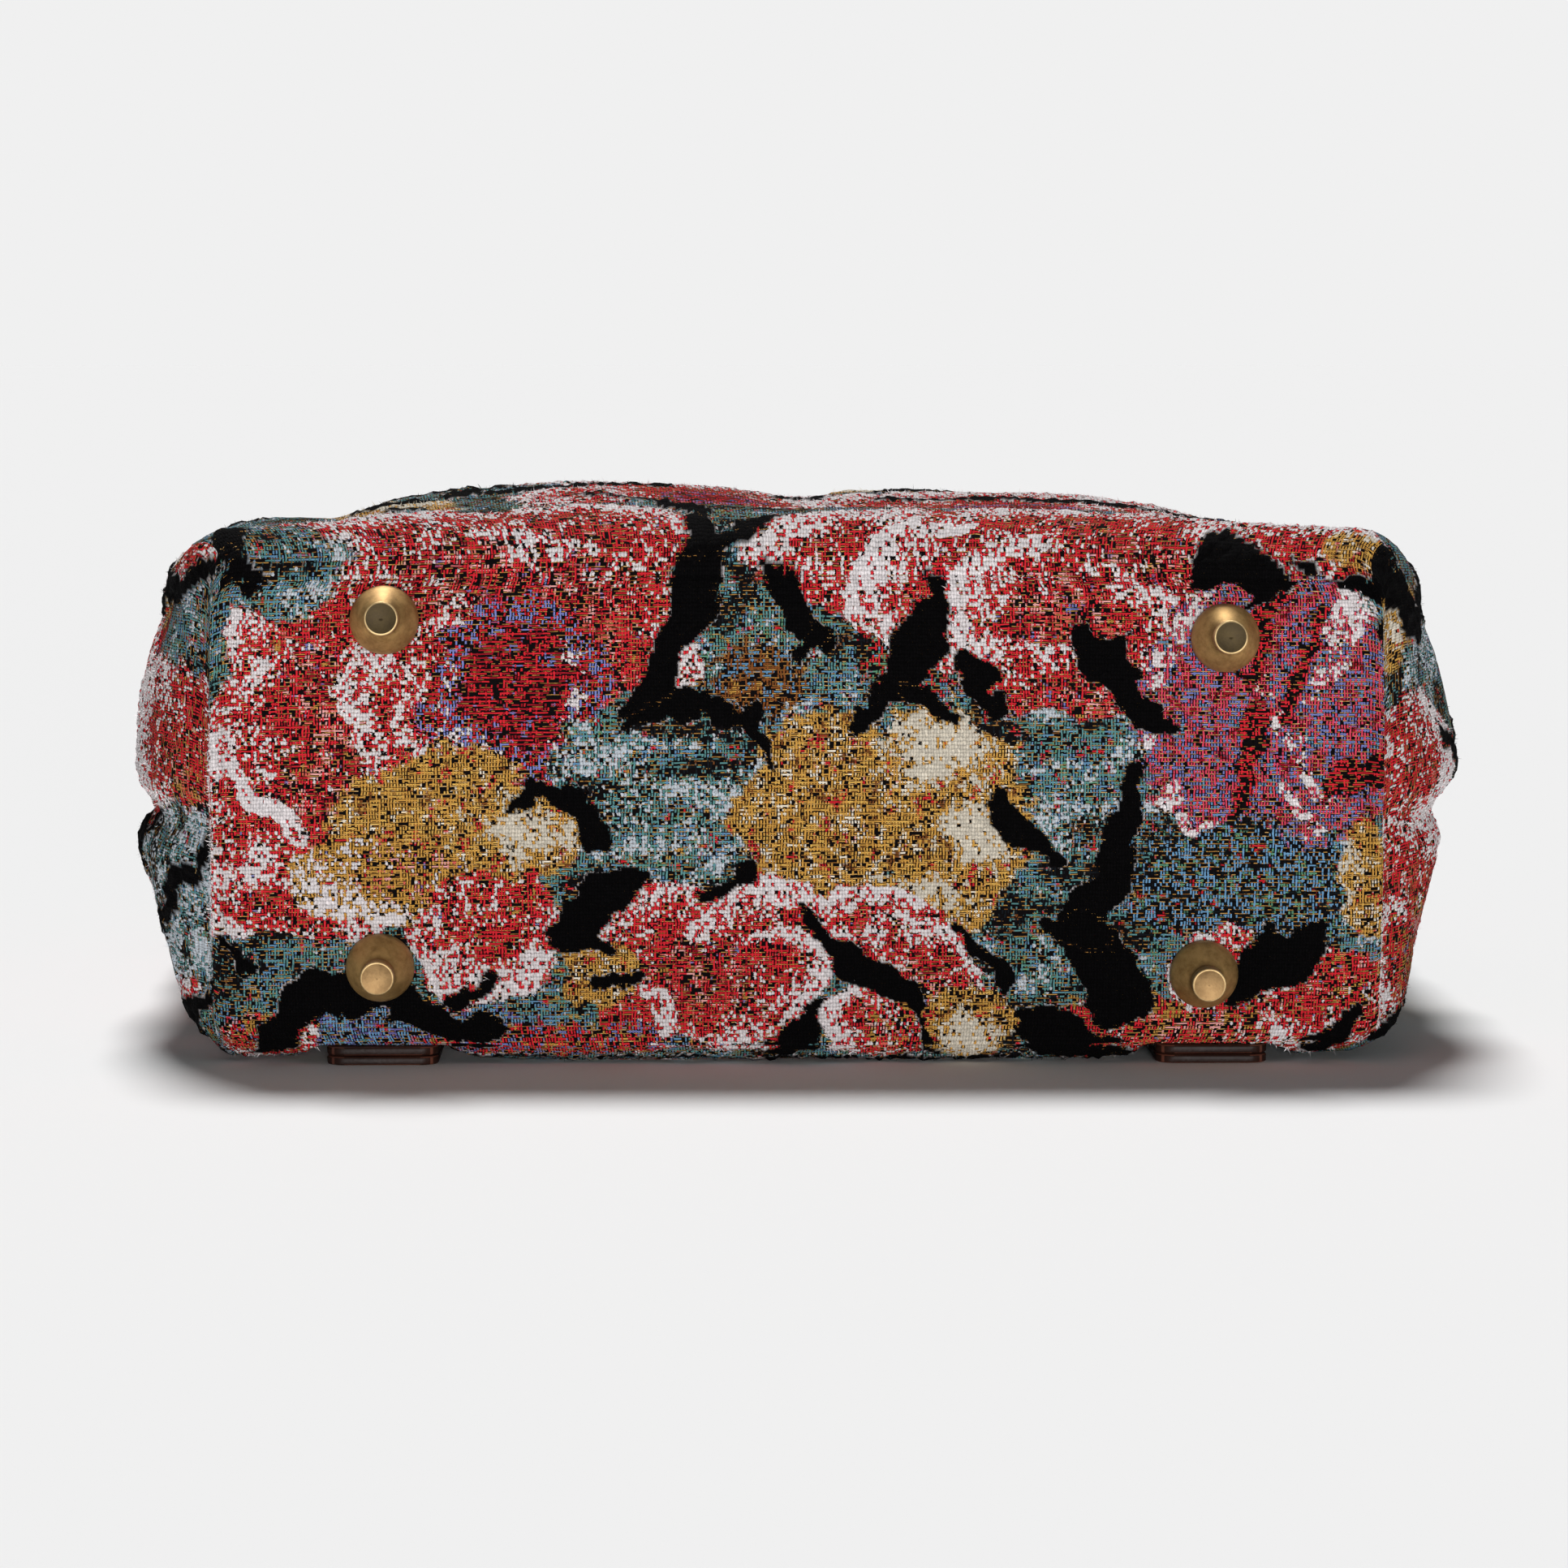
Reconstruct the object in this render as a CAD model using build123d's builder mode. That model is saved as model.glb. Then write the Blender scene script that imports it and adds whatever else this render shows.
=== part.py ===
from build123d import *
import os
from collections import namedtuple
from math import asin, cos, sin, sqrt

# A tapestry backpack that lies on its back, as on a table. Lengths are millimetres.
# The back panel is down, the front panel is up (+Z) and the bottom panel with its four
# brass feet faces -Y. "Rise" is a distance up the bag from its bottom panel, along +Y.

# Bag body
body_height = 300.0
bottom_width = 262.0
belly_width = 294.0
mouth_width = 292.0
wall = 3.0
bottom_round_radius = 500.0
bottom_edge_round = 8.0
bottom_side_round = 3.0
inner_side_round = 1.0
slope_spread = 1.3
narrowest_round = 1.0

# Lining and base board
lining_gap = 0.3
lining_thickness = 0.8
lining_top_gap = 5.0
lining_round = 3.0
board_thickness = 2.0
board_margin = 9.0
board_corner_round = 14.0
board_gap = 0.1

# Brass feet, their washers and screws. The feet were set by hand, so each place is a little
# off the even spacing, across the panel and up it.
foot_spacing_x = 185.0
foot_spacing_z = 77.0
Foot = namedtuple("Foot", "name side level shift_x shift_z")
feet = [
    Foot("foot_front_left", -1, 1, 0.6, 0.4),
    Foot("foot_front_right", 1, 1, 2.7, -3.8),
    Foot("foot_back_left", -1, -1, -0.8, -0.2),
    Foot("foot_back_right", 1, -1, -1.5, -2.1),
]
foot_base_radius = 7.65
foot_base_lip = 0.9
foot_shoulder_radius = 6.35
foot_shoulder_height = 4.3
foot_waist_radius = 4.35
foot_waist_height = 7.1
foot_neck_radius = 3.3
foot_neck_height = 8.9
foot_groove_height = 0.7
foot_tip_radius = 3.75
foot_tip_length = 3.6
foot_tip_round = 0.3
foot_dish_depth = 0.35
foot_rim_width = 0.45
arc_middle = 1 - sqrt(0.5)
foot_post_radius = 2.5
foot_bore_radius = 1.5
foot_bore_depth = 6.0
post_clearance = 0.2
screw_clearance = 0.1
screw_engagement = 5.0
screw_head_radius = 3.4
screw_head_height = 1.6
screw_head_taper = 20.0
screw_slot_width = 0.8
screw_slot_depth = 0.7
washer_radius = 5.5
washer_thickness = 1.0
washer_gap = 0.05

# Leather straps, tabs and rings
leather = 1.9
strap_width = 22.0
tab_width = 25.0
tab_spacing = 186.0
tab_end_rise = 1.0
tab_end_round = 4.0
tab_layer_gap = 0.3
ring_wire_radius = 1.5
ring_side_clearance = 1.3
ring_corner_round = 3.0
ring_length = 15.0
ring_rise = 43.0
loop_clearance = 0.15
layer_merge_length = 11.0
strap_fold_length = 30.0
strap_loop_rise = 415.0
strap_loop_radius = 11.0
strap_top_spacing = 124.0
strap_bend_rise = 80.0
strap_straight_rise = 250.0
strap_bend_radius = 120.0
strap_drop_gap = 8.0

# Back yoke and grab handle
yoke_width = 176.0
yoke_length = 42.0
yoke_top_margin = 2.0
yoke_corner_round = 9.0
strap_tuck = 35.0
handle_spacing = 62.0
handle_radius = 5.0
handle_leg_length = 20.0
handle_tab_width = 20.0
handle_tab_length = 32.0
handle_tab_thickness = 2.5
handle_taper_length = 11.0

# Zip across the mouth
tape_thickness = 0.8
chain_thickness = 2.4
tooth_pitch = 3.0
tooth_clearance = 0.15
tooth_reach = 0.8
bead_inner = 1.0
bead_outer = 3.2
stop_length = 3.0
chain_margin = 12.0
stop_gap = 0.3
slider_length = 12.0
slider_width = 10.2
slider_tail_width = 8.6
slider_plate = 1.2
slider_chain_clearance = 0.3
slider_tape_clearance = 0.3
divider_length = 3.5
divider_width = 2.2
bridge_width = 2.4
bridge_bar = 1.2
bridge_foot = 1.2
tunnel_height = 2.2
tunnel_length = 6.0
pull_length = 34.0
pull_width = 9.0
pull_eye_width = 7.0
pull_thickness = 1.6
pull_play = 0.4
pull_end_hole_radius = 1.6

# Cross-sections of the bag body from the bottom panel to the mouth. Each has its rise,
# half width at the corners, outward bulge at the side seam, height of the back and of the
# front corners over the table, extra height of the crown, and its corner rounds.
Station = namedtuple("Station", "rise corner bulge back shoulder crown front_round back_round")
back_clearance = 9.5
back_trim = 0.8
bottom_edge_clearance = 4.2
bottom_height = 117.5
belly_height = 120.5
mouth_height = 40.0
half_belly = belly_width / 2
back_level = back_clearance - back_trim
stations = [
    Station(0.0, bottom_width / 2, 0.5, bottom_edge_clearance, bottom_height, 1.0, 10.0, 8.0),
    Station(28.0, half_belly - 5.0, 3.5, back_level, belly_height - 1.0, 5.0, 20.0, 13.0),
    Station(60.0, half_belly, 5.0, back_level, belly_height, 7.5, 28.0, 18.0),
    Station(150.0, half_belly, 5.0, back_level, belly_height - 15.5, 7.0, 26.0, 18.0),
    Station(240.0, half_belly - 1.0, 4.0, back_level, 64.0, 4.0, 18.0, 14.0),
    Station(body_height, mouth_width / 2, 2.0, back_level, mouth_height, 1.0, 10.0, 10.0),
]
bottom = stations[0]
belly = stations[2]
mouth = stations[-1]

# The bottom panel is part of a cylinder about a line parallel to X, so the feet splay.
bottom_middle = (bottom.back + bottom.shoulder) / 2
foot_height = foot_neck_height + foot_groove_height + foot_tip_length


def foot_place(foot):
    """Where a foot is set: x, and height over the middle of the bottom panel."""
    x = foot.side * foot_spacing_x / 2 + foot.shift_x
    z = foot.level * foot_spacing_z / 2 + foot.shift_z
    return x, z


def panel_dip(z):
    """How far the bottom panel curves back at a height over its middle."""
    return bottom_round_radius - sqrt(bottom_round_radius**2 - z**2)


def foot_reach_at(z):
    """How far a foot set at that height reaches out past the middle of the panel."""
    splay = asin(abs(z) / bottom_round_radius)
    flat_radius = foot_tip_radius - foot_tip_round
    return foot_height * cos(splay) + flat_radius * sin(splay) - panel_dip(z)


foot_places = [foot_place(foot) for foot in feet]
foot_reach = max(foot_reach_at(z) for x, z in foot_places)
strap_reach = strap_loop_rise + strap_loop_radius + leather / 2
# The origin is under the middle of the whole part, at the height of the table.
bottom_y = (foot_reach - strap_reach) / 2

os.makedirs("parts", exist_ok=True)


def across(rise):
    """The plane across the bag at a rise. It faces -Y, with +X right and +Z up."""
    return Plane.XZ.offset(-(bottom_y + rise))


def lengthwise(x=0.0):
    """A plane along the bag at a given x, with rise to the right and height up."""
    return Plane(origin=(x, bottom_y, 0), x_dir=(0, 1, 0), z_dir=(1, 0, 0))


def plan(height=0.0):
    """The plane of the table or one above it, with rise measured from the bottom panel."""
    return Plane(origin=(0, bottom_y, height), x_dir=(1, 0, 0), z_dir=(0, 0, 1))


def write(part, name):
    """Label a finished piece and write it to its own file."""
    part.label = name
    export_step(part, f"parts/{name}.step")


def body_section(station, inset):
    """The closed outline of the bag at a station, moved inwards by the inset."""
    half = station.corner - inset
    seam = half + station.bulge
    low = station.back + inset
    high = station.shoulder - inset
    middle = (low + high) / 2
    with BuildSketch(across(station.rise)) as section:
        with BuildLine():
            Line((-half, low), (half, low))
            ThreePointArc((half, low), (seam, middle), (half, high))
            ThreePointArc((half, high), (0, high + station.crown), (-half, high))
            ThreePointArc((-half, high), (-seam, middle), (-half, low))
        make_face()
        front_corners = section.vertices().group_by(Axis.Y)[-1]
        fillet(front_corners, radius=max(station.front_round - inset, narrowest_round))
        back_corners = section.vertices().group_by(Axis.Y)[0]
        fillet(back_corners, radius=max(station.back_round - inset, narrowest_round))
    return section.sketch


def body_form(inset, bottom_inset, edge_round, side_round):
    """A solid of the bag's outer shape moved inwards, with its rounded bottom."""
    next_up = stations[1]
    low = bottom.back + inset
    high = bottom.shoulder + bottom.crown - inset
    front_slope = (next_up.shoulder + next_up.crown - bottom.shoulder - bottom.crown) / next_up.rise
    side_slope = (next_up.corner - bottom.corner) / next_up.rise
    far = body_height + belly_width
    radius = bottom_round_radius - bottom_inset
    low_rise = bottom_round_radius - sqrt(radius**2 - (bottom_middle - low) ** 2)
    high_rise = bottom_round_radius - sqrt(radius**2 - (high - bottom_middle) ** 2)
    half = bottom.corner + bottom.bulge - inset
    with BuildPart() as form:
        loft([body_section(station, inset).face() for station in stations])
        with BuildSketch(lengthwise()) as side_view:
            with BuildLine():
                ThreePointArc((low_rise, low), (bottom_inset, bottom_middle), (high_rise, high))
                Polyline(
                    (high_rise, high),
                    (far, high + far * front_slope * slope_spread),
                    (far, back_clearance + inset),
                    (belly.rise, back_clearance + inset),
                    (low_rise, low),
                )
            make_face()
            fillet(side_view.vertices().sort_by(Axis.X)[:2], radius=edge_round)
        extrude(amount=belly_width, both=True, mode=Mode.INTERSECT)
        with BuildSketch(plan()) as top_view:
            with BuildLine():
                Polyline(
                    (-half, bottom_inset),
                    (half, bottom_inset),
                    (half + far * side_slope * slope_spread, far),
                    (-half - far * side_slope * slope_spread, far),
                    close=True,
                )
            make_face()
            fillet(top_view.vertices().sort_by(Axis.Y)[:2], radius=side_round)
        extrude(amount=belly_width, mode=Mode.INTERSECT)
    return form.part


# Outer shell: one continuous cloth body, open at the mouth
post_hole_radius = foot_post_radius + post_clearance


def foot_frame(x, z):
    """Origin on the bottom panel and outward direction of the foot at (x, z)."""
    point = (x, bottom_y + panel_dip(z), bottom_middle + z)
    lean = asin(z / bottom_round_radius)
    return point, (0, -cos(lean), sin(lean))


def foot_plane(x, z, inwards=0.0):
    """The plane tangent to the bottom panel under a foot, facing into the bag."""
    point, outward = foot_frame(x, z)
    inside = (0, -outward[1], -outward[2])
    return Plane(origin=point, x_dir=(1, 0, 0), z_dir=inside).offset(inwards)


def foot_profile_plane(x, z):
    """A plane through a foot's axis, with +X right and the outward direction up."""
    point, outward = foot_frame(x, z)
    side = (0, -outward[2], outward[1])
    return Plane(origin=point, x_dir=(1, 0, 0), z_dir=side)


with BuildPart() as outer_shell:
    add(body_form(0.0, 0.0, bottom_edge_round, bottom_side_round))
    add(body_form(wall, wall, bottom_edge_round - wall, inner_side_round), mode=Mode.SUBTRACT)
    for place in foot_places:
        with BuildSketch(foot_plane(*place, -wall)):
            Circle(post_hole_radius)
        extrude(amount=3 * wall, mode=Mode.SUBTRACT)
write(outer_shell.part, "outer_shell")

# Base board, bent like the bottom panel, with a hole for each foot's post
board_inner = wall + board_gap + board_thickness
board_width = bottom_width - 2 * (wall + board_margin)
board_depth = bottom.shoulder - bottom.back - 2 * (wall + board_margin)
with BuildPart() as base_board:
    with BuildSketch(lengthwise()):
        with Locations((bottom_round_radius, bottom_middle)):
            Circle(bottom_round_radius - wall - board_gap)
            Circle(bottom_round_radius - board_inner, mode=Mode.SUBTRACT)
    extrude(amount=board_width / 2, both=True)
    with BuildSketch(across(0.0)):
        with Locations((0, bottom_middle)):
            RectangleRounded(board_width, board_depth, board_corner_round)
    extrude(amount=-(board_inner + board_depth / 2), mode=Mode.INTERSECT)
    for place in foot_places:
        with BuildSketch(foot_plane(*place)):
            Circle(post_hole_radius)
        extrude(amount=board_inner + wall, mode=Mode.SUBTRACT)
write(base_board.part, "base_board")

# Feet: a bell-shaped base, a narrow groove and a short dished tip, turned in one piece
post_length = board_inner - post_clearance
tip_start = foot_neck_height + foot_groove_height
groove_radius = foot_neck_radius - foot_tip_round
dish_radius = foot_tip_radius - foot_rim_width
for foot, place in zip(feet, foot_places):
    origin, outward = foot_frame(*place)
    with BuildPart() as turned_foot:
        with BuildSketch(foot_profile_plane(*place)):
            with BuildLine():
                Polyline(
                    (0, foot_bore_depth - post_length),
                    (foot_bore_radius, foot_bore_depth - post_length),
                    (foot_bore_radius, -post_length),
                    (foot_post_radius, -post_length),
                    (foot_post_radius, 0),
                    (foot_base_radius - foot_base_lip / 2, 0),
                )
                ThreePointArc(
                    (foot_base_radius - foot_base_lip / 2, 0),
                    (foot_base_radius - foot_base_lip / 7, foot_base_lip / 4),
                    (foot_base_radius, foot_base_lip),
                )
                Spline(
                    (foot_base_radius, foot_base_lip),
                    (foot_shoulder_radius, foot_shoulder_height),
                    (foot_waist_radius, foot_waist_height),
                    (foot_neck_radius, foot_neck_height),
                    tangents=((0, 1), (-0.2, 1)),
                )
                Polyline(
                    (foot_neck_radius, foot_neck_height),
                    (groove_radius, foot_neck_height),
                    (groove_radius, tip_start),
                    (foot_tip_radius - foot_tip_round, tip_start),
                    (foot_tip_radius, tip_start + foot_tip_round),
                    (foot_tip_radius, foot_height - foot_tip_round),
                )
                ThreePointArc(
                    (foot_tip_radius, foot_height - foot_tip_round),
                    (
                        foot_tip_radius - arc_middle * foot_tip_round,
                        foot_height - arc_middle * foot_tip_round,
                    ),
                    (foot_tip_radius - foot_tip_round, foot_height),
                )
                Line((foot_tip_radius - foot_tip_round, foot_height), (dish_radius, foot_height))
                TangentArc(
                    (0, foot_height - foot_dish_depth), (dish_radius, foot_height), tangent=(1, 0)
                )
                Line((0, foot_height - foot_dish_depth), (0, foot_bore_depth - post_length))
            make_face()
        revolve(axis=Axis(origin, outward))
    write(turned_foot.part, foot.name)

# Washers and screws that hold the feet, one of each inside the bag over every foot
washer_seat = board_inner + washer_gap
head_seat = washer_seat + washer_thickness
with BuildPart() as foot_washers:
    for place in foot_places:
        with BuildSketch(foot_plane(*place, washer_seat)):
            Circle(washer_radius)
            Circle(foot_bore_radius, mode=Mode.SUBTRACT)
        extrude(amount=washer_thickness)
write(foot_washers.part, "foot_washers")

with BuildPart() as foot_screws:
    for place in foot_places:
        with BuildSketch(foot_plane(*place, board_inner - post_clearance - screw_engagement)):
            Circle(foot_bore_radius - screw_clearance)
        extrude(amount=head_seat - board_inner + post_clearance + screw_engagement)
        with BuildSketch(foot_plane(*place, head_seat)):
            Circle(screw_head_radius)
        extrude(amount=screw_head_height, taper=screw_head_taper)
        with BuildSketch(foot_plane(*place, head_seat + screw_head_height)):
            Rectangle(2 * screw_head_radius, screw_slot_width)
        extrude(amount=-screw_slot_depth, mode=Mode.SUBTRACT)
write(foot_screws.part, "foot_screws")

# Lining: a thin cotton bag inside the shell that clears the screws and ends below the zip
lining_inset = wall + lining_gap
lining_floor = head_seat + screw_head_height + lining_gap
with BuildPart() as lining:
    add(body_form(lining_inset, lining_floor, lining_round, lining_round))
    add(
        body_form(
            lining_inset + lining_thickness,
            lining_floor + lining_thickness,
            lining_round - lining_thickness,
            lining_round - lining_thickness,
        ),
        mode=Mode.SUBTRACT,
    )
    split(bisect_by=across(body_height - lining_top_gap), keep=Keep.TOP)
write(lining.part, "lining")

# Lower tabs: each is one leather strip folded round its ring, with both ends at the bottom
loop_radius = ring_wire_radius + loop_clearance + leather / 2
low_layer = leather / 2
ring_height = low_layer + loop_radius
top_layer = 1.5 * leather + tab_layer_gap
strap_bar_rise = ring_rise + ring_length
sides = {"left": -1, "right": 1}
for side_name, side in sides.items():
    tab_x = side * tab_spacing / 2
    with BuildPart() as lower_tab:
        with BuildSketch(lengthwise(tab_x)):
            with BuildLine():
                Line((tab_end_rise, low_layer), (ring_rise, low_layer))
                ThreePointArc(
                    (ring_rise, low_layer),
                    (ring_rise + loop_radius, ring_height),
                    (ring_rise, ring_height + loop_radius),
                )
                Spline(
                    (ring_rise, ring_height + loop_radius),
                    (ring_rise - layer_merge_length, top_layer),
                    tangents=((-1, 0), (-1, 0)),
                )
                Line((ring_rise - layer_merge_length, top_layer), (tab_end_rise, top_layer))
            trace(line_width=leather)
        extrude(amount=tab_width / 2, both=True)
        with BuildSketch(plan()) as tab_outline:
            with Locations((tab_x, tab_end_rise)):
                Rectangle(tab_width, 2 * ring_rise, align=(Align.CENTER, Align.MIN))
            fillet(tab_outline.vertices().group_by(Axis.Y)[0], radius=tab_end_round)
        extrude(amount=belly_height, mode=Mode.INTERSECT)
    write(lower_tab.part, f"lower_tab_{side_name}")

    # Ring: a rectangle of brass wire that joins the tab and the shoulder strap
    ring_half = tab_width / 2 + ring_side_clearance + ring_wire_radius
    with BuildPart() as lower_ring:
        with BuildLine(plan(ring_height)) as ring_path:
            FilletPolyline(
                (tab_x - ring_half, ring_rise),
                (tab_x + ring_half, ring_rise),
                (tab_x + ring_half, strap_bar_rise),
                (tab_x - ring_half, strap_bar_rise),
                radius=ring_corner_round,
                close=True,
            )
        with BuildSketch(Plane(origin=ring_path.line @ 0, z_dir=ring_path.line % 0)):
            Circle(ring_wire_radius)
        sweep(path=ring_path.line)
    write(lower_ring.part, f"lower_ring_{side_name}")

# Shoulder straps: each is folded round its ring, runs under the bag and past its top,
# turns back in a loose loop and is tucked onto the yoke
seat_gap = 0.1
yoke_underside = back_clearance - seat_gap - leather
tuck_layer = yoke_underside - leather / 2
tuck_end_rise = body_height - yoke_top_margin - strap_tuck
drop_end_rise = body_height + strap_drop_gap
loop_top = low_layer + 2 * strap_loop_radius
for side_name, side in sides.items():
    tab_x = side * tab_spacing / 2
    top_x = side * strap_top_spacing / 2
    with BuildPart() as shoulder_strap:
        with BuildSketch(lengthwise()):
            with BuildLine():
                Line(
                    (strap_bar_rise + layer_merge_length + strap_fold_length, top_layer),
                    (strap_bar_rise + layer_merge_length, top_layer),
                )
                Spline(
                    (strap_bar_rise + layer_merge_length, top_layer),
                    (strap_bar_rise, ring_height + loop_radius),
                    tangents=((-1, 0), (-1, 0)),
                )
                ThreePointArc(
                    (strap_bar_rise, ring_height + loop_radius),
                    (strap_bar_rise - loop_radius, ring_height),
                    (strap_bar_rise, low_layer),
                )
                Line((strap_bar_rise, low_layer), (strap_loop_rise, low_layer))
                ThreePointArc(
                    (strap_loop_rise, low_layer),
                    (strap_loop_rise + strap_loop_radius, low_layer + strap_loop_radius),
                    (strap_loop_rise, loop_top),
                )
                Spline(
                    (strap_loop_rise, loop_top),
                    (drop_end_rise, tuck_layer),
                    tangents=((-1, 0), (-1, 0)),
                )
                Line((drop_end_rise, tuck_layer), (tuck_end_rise, tuck_layer))
            trace(line_width=leather)
        extrude(amount=belly_width, both=True)
        with BuildSketch(plan()):
            with BuildLine():
                FilletPolyline(
                    (tab_x, ring_rise),
                    (tab_x, strap_bend_rise),
                    (top_x, strap_straight_rise),
                    (top_x, strap_reach + strap_width),
                    radius=strap_bend_radius,
                )
            trace(line_width=strap_width)
        extrude(amount=belly_height, mode=Mode.INTERSECT)
    write(shoulder_strap.part, f"shoulder_strap_{side_name}")

# Yoke: a leather patch on the back panel that carries the straps and the grab handle
with BuildPart() as back_yoke:
    with BuildSketch(plan(yoke_underside)):
        with Locations((0, body_height - yoke_top_margin - yoke_length / 2)):
            RectangleRounded(yoke_width, yoke_length, yoke_corner_round)
    extrude(amount=leather)
write(back_yoke.part, "back_yoke")

# Grab handle: rolled leather whose flat ends are sewn to the yoke
handle_height = handle_radius + seat_gap
handle_tab_end = body_height - yoke_top_margin
taper_end = handle_tab_end + handle_taper_length
arch_start = taper_end + handle_leg_length
with BuildPart() as grab_handle:
    for side in (-1, 1):
        handle_x = side * handle_spacing / 2
        with BuildSketch(plan(yoke_underside - handle_tab_thickness)):
            with Locations((handle_x, handle_tab_end)):
                Rectangle(handle_tab_width, handle_tab_length, align=(Align.CENTER, Align.MAX))
        extrude(amount=handle_tab_thickness)
        with BuildSketch(across(handle_tab_end)) as flat_end:
            with Locations((handle_x, yoke_underside - handle_tab_thickness / 2)):
                Rectangle(handle_tab_width, handle_tab_thickness)
        with BuildSketch(across(taper_end)) as round_end:
            with Locations((handle_x, handle_height)):
                Circle(handle_radius)
        loft([flat_end.sketch.face(), round_end.sketch.face()])
    with BuildLine(plan(handle_height)) as arch:
        Line((-handle_spacing / 2, taper_end), (-handle_spacing / 2, arch_start))
        ThreePointArc(
            (-handle_spacing / 2, arch_start),
            (0, arch_start + handle_spacing / 2),
            (handle_spacing / 2, arch_start),
        )
        Line((handle_spacing / 2, arch_start), (handle_spacing / 2, taper_end))
    with BuildSketch(across(taper_end)):
        with Locations((-handle_spacing / 2, handle_height)):
            Circle(handle_radius)
    sweep(path=arch.line)
write(grab_handle.part, "grab_handle")

# Zip tapes: they lie on the rim of the mouth, with the chain between them
zip_height = (back_clearance + mouth.shoulder) / 2
zip_rise = body_height + tape_thickness / 2
mouth_span = mouth.shoulder + mouth.crown - mouth.back
for tape_name, side in {"front": 1, "back": -1}.items():
    with BuildPart() as zip_tape:
        extrude(body_section(mouth, wall / 2), amount=-tape_thickness)
        with BuildSketch(across(body_height)):
            with Locations((0, zip_height + side * (bead_outer + mouth_span / 2))):
                Rectangle(2 * mouth_width, mouth_span)
        extrude(amount=-tape_thickness, mode=Mode.INTERSECT)
    write(zip_tape.part, f"zip_tape_{tape_name}")

# Zip chain: two rows of teeth that mesh at half a pitch, closed up to the slider
zip_half = mouth_width / 2 - chain_margin
chain_start = stop_length - zip_half
slider_x = zip_half - stop_length - stop_gap - slider_length / 2
divider_start = slider_x + slider_length / 2 - divider_length - slider_plate / 2
chain_end = divider_start - stop_gap
tooth_width = tooth_pitch / 2 - tooth_clearance
bead_width = bead_outer - bead_inner
tooth_overlap = bead_width / 4
tooth_height = tooth_reach + bead_inner + tooth_overlap
for chain_name, side, shift in (("front", 1, 0.0), ("back", -1, tooth_pitch / 2)):
    teeth = int((chain_end - chain_start - tooth_width - shift) / tooth_pitch) + 1
    teeth_middle = chain_start + shift + tooth_width / 2 + (teeth - 1) * tooth_pitch / 2
    with BuildPart() as zip_chain:
        with BuildSketch(across(zip_rise)):
            with Locations(
                ((chain_start + chain_end) / 2, zip_height + side * (bead_inner + bead_outer) / 2)
            ):
                Rectangle(chain_end - chain_start, bead_width)
            with Locations(
                (teeth_middle, zip_height + side * (bead_inner + tooth_overlap - tooth_reach) / 2)
            ):
                with GridLocations(tooth_pitch, 1, teeth, 1):
                    Rectangle(tooth_width, tooth_height)
        extrude(amount=chain_thickness / 2, both=True)
    write(zip_chain.part, f"zip_chain_{chain_name}")

# Stops at the two ends of the chain
with BuildPart() as zip_top_stops:
    with BuildSketch(across(zip_rise)):
        for side in (-1, 1):
            with Locations(
                (zip_half - stop_length / 2, zip_height + side * (bead_inner + bead_outer) / 2)
            ):
                Rectangle(stop_length, bead_width)
    extrude(amount=chain_thickness / 2, both=True)
write(zip_top_stops.part, "zip_top_stops")

with BuildPart() as zip_bottom_stop:
    with BuildSketch(across(zip_rise)):
        with Locations((chain_start - stop_length / 2, zip_height)):
            Rectangle(stop_length - seat_gap, 2 * bead_outer)
    extrude(amount=chain_thickness / 2, both=True)
write(zip_bottom_stop.part, "zip_bottom_stop")

# Zip slider: two plates joined by a divider, rims that leave a slot for the tape, and a
# bridge on the outer plate for the pull
channel_half = chain_thickness / 2 + slider_chain_clearance
slot_half = tape_thickness / 2 + slider_tape_clearance
slider_half = channel_half + slider_plate
slider_plane = Plane(
    origin=(slider_x, bottom_y + zip_rise, zip_height), x_dir=(1, 0, 0), z_dir=(0, -1, 0)
)
side_plane = Plane(
    origin=(slider_x, bottom_y + zip_rise + slider_half, zip_height),
    x_dir=(1, 0, 0),
    z_dir=(0, 0, 1),
)
bridge_half = tunnel_length / 2 + bridge_foot
with BuildPart() as zip_slider:
    with BuildSketch(slider_plane) as slider_outline:
        with BuildLine():
            Polyline(
                (-slider_length / 2, -slider_tail_width / 2),
                (slider_length / 6, -slider_width / 2),
                (slider_length / 2, -slider_width / 2),
                (slider_length / 2, slider_width / 2),
                (slider_length / 6, slider_width / 2),
                (-slider_length / 2, slider_tail_width / 2),
                close=True,
            )
        make_face()
        fillet(slider_outline.vertices(), radius=slider_plate)
    extrude(amount=slider_half, both=True)
    with BuildSketch(slider_plane):
        Rectangle(2 * slider_length, 2 * (bead_outer + slider_chain_clearance))
    extrude(amount=channel_half, both=True, mode=Mode.SUBTRACT)
    with BuildSketch(slider_plane):
        Rectangle(2 * slider_length, 2 * slider_width)
    extrude(amount=slot_half, both=True, mode=Mode.SUBTRACT)
    with BuildSketch(slider_plane):
        with BuildLine():
            Polyline(
                (divider_start - slider_x, 0),
                (divider_start - slider_x + divider_length / 2, divider_width / 2),
                (divider_start - slider_x + divider_length, divider_width / 2),
                (divider_start - slider_x + divider_length, -divider_width / 2),
                (divider_start - slider_x + divider_length / 2, -divider_width / 2),
                close=True,
            )
        make_face()
    extrude(amount=channel_half, both=True)
    with BuildSketch(side_plane) as bridge:
        Rectangle(2 * bridge_half, tunnel_height + bridge_bar, align=(Align.CENTER, Align.MIN))
        fillet(bridge.vertices().group_by(Axis.Y)[-1], radius=bridge_bar)
        Rectangle(
            tunnel_length, tunnel_height, align=(Align.CENTER, Align.MIN), mode=Mode.SUBTRACT
        )
    extrude(amount=bridge_width / 2, both=True)
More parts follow.
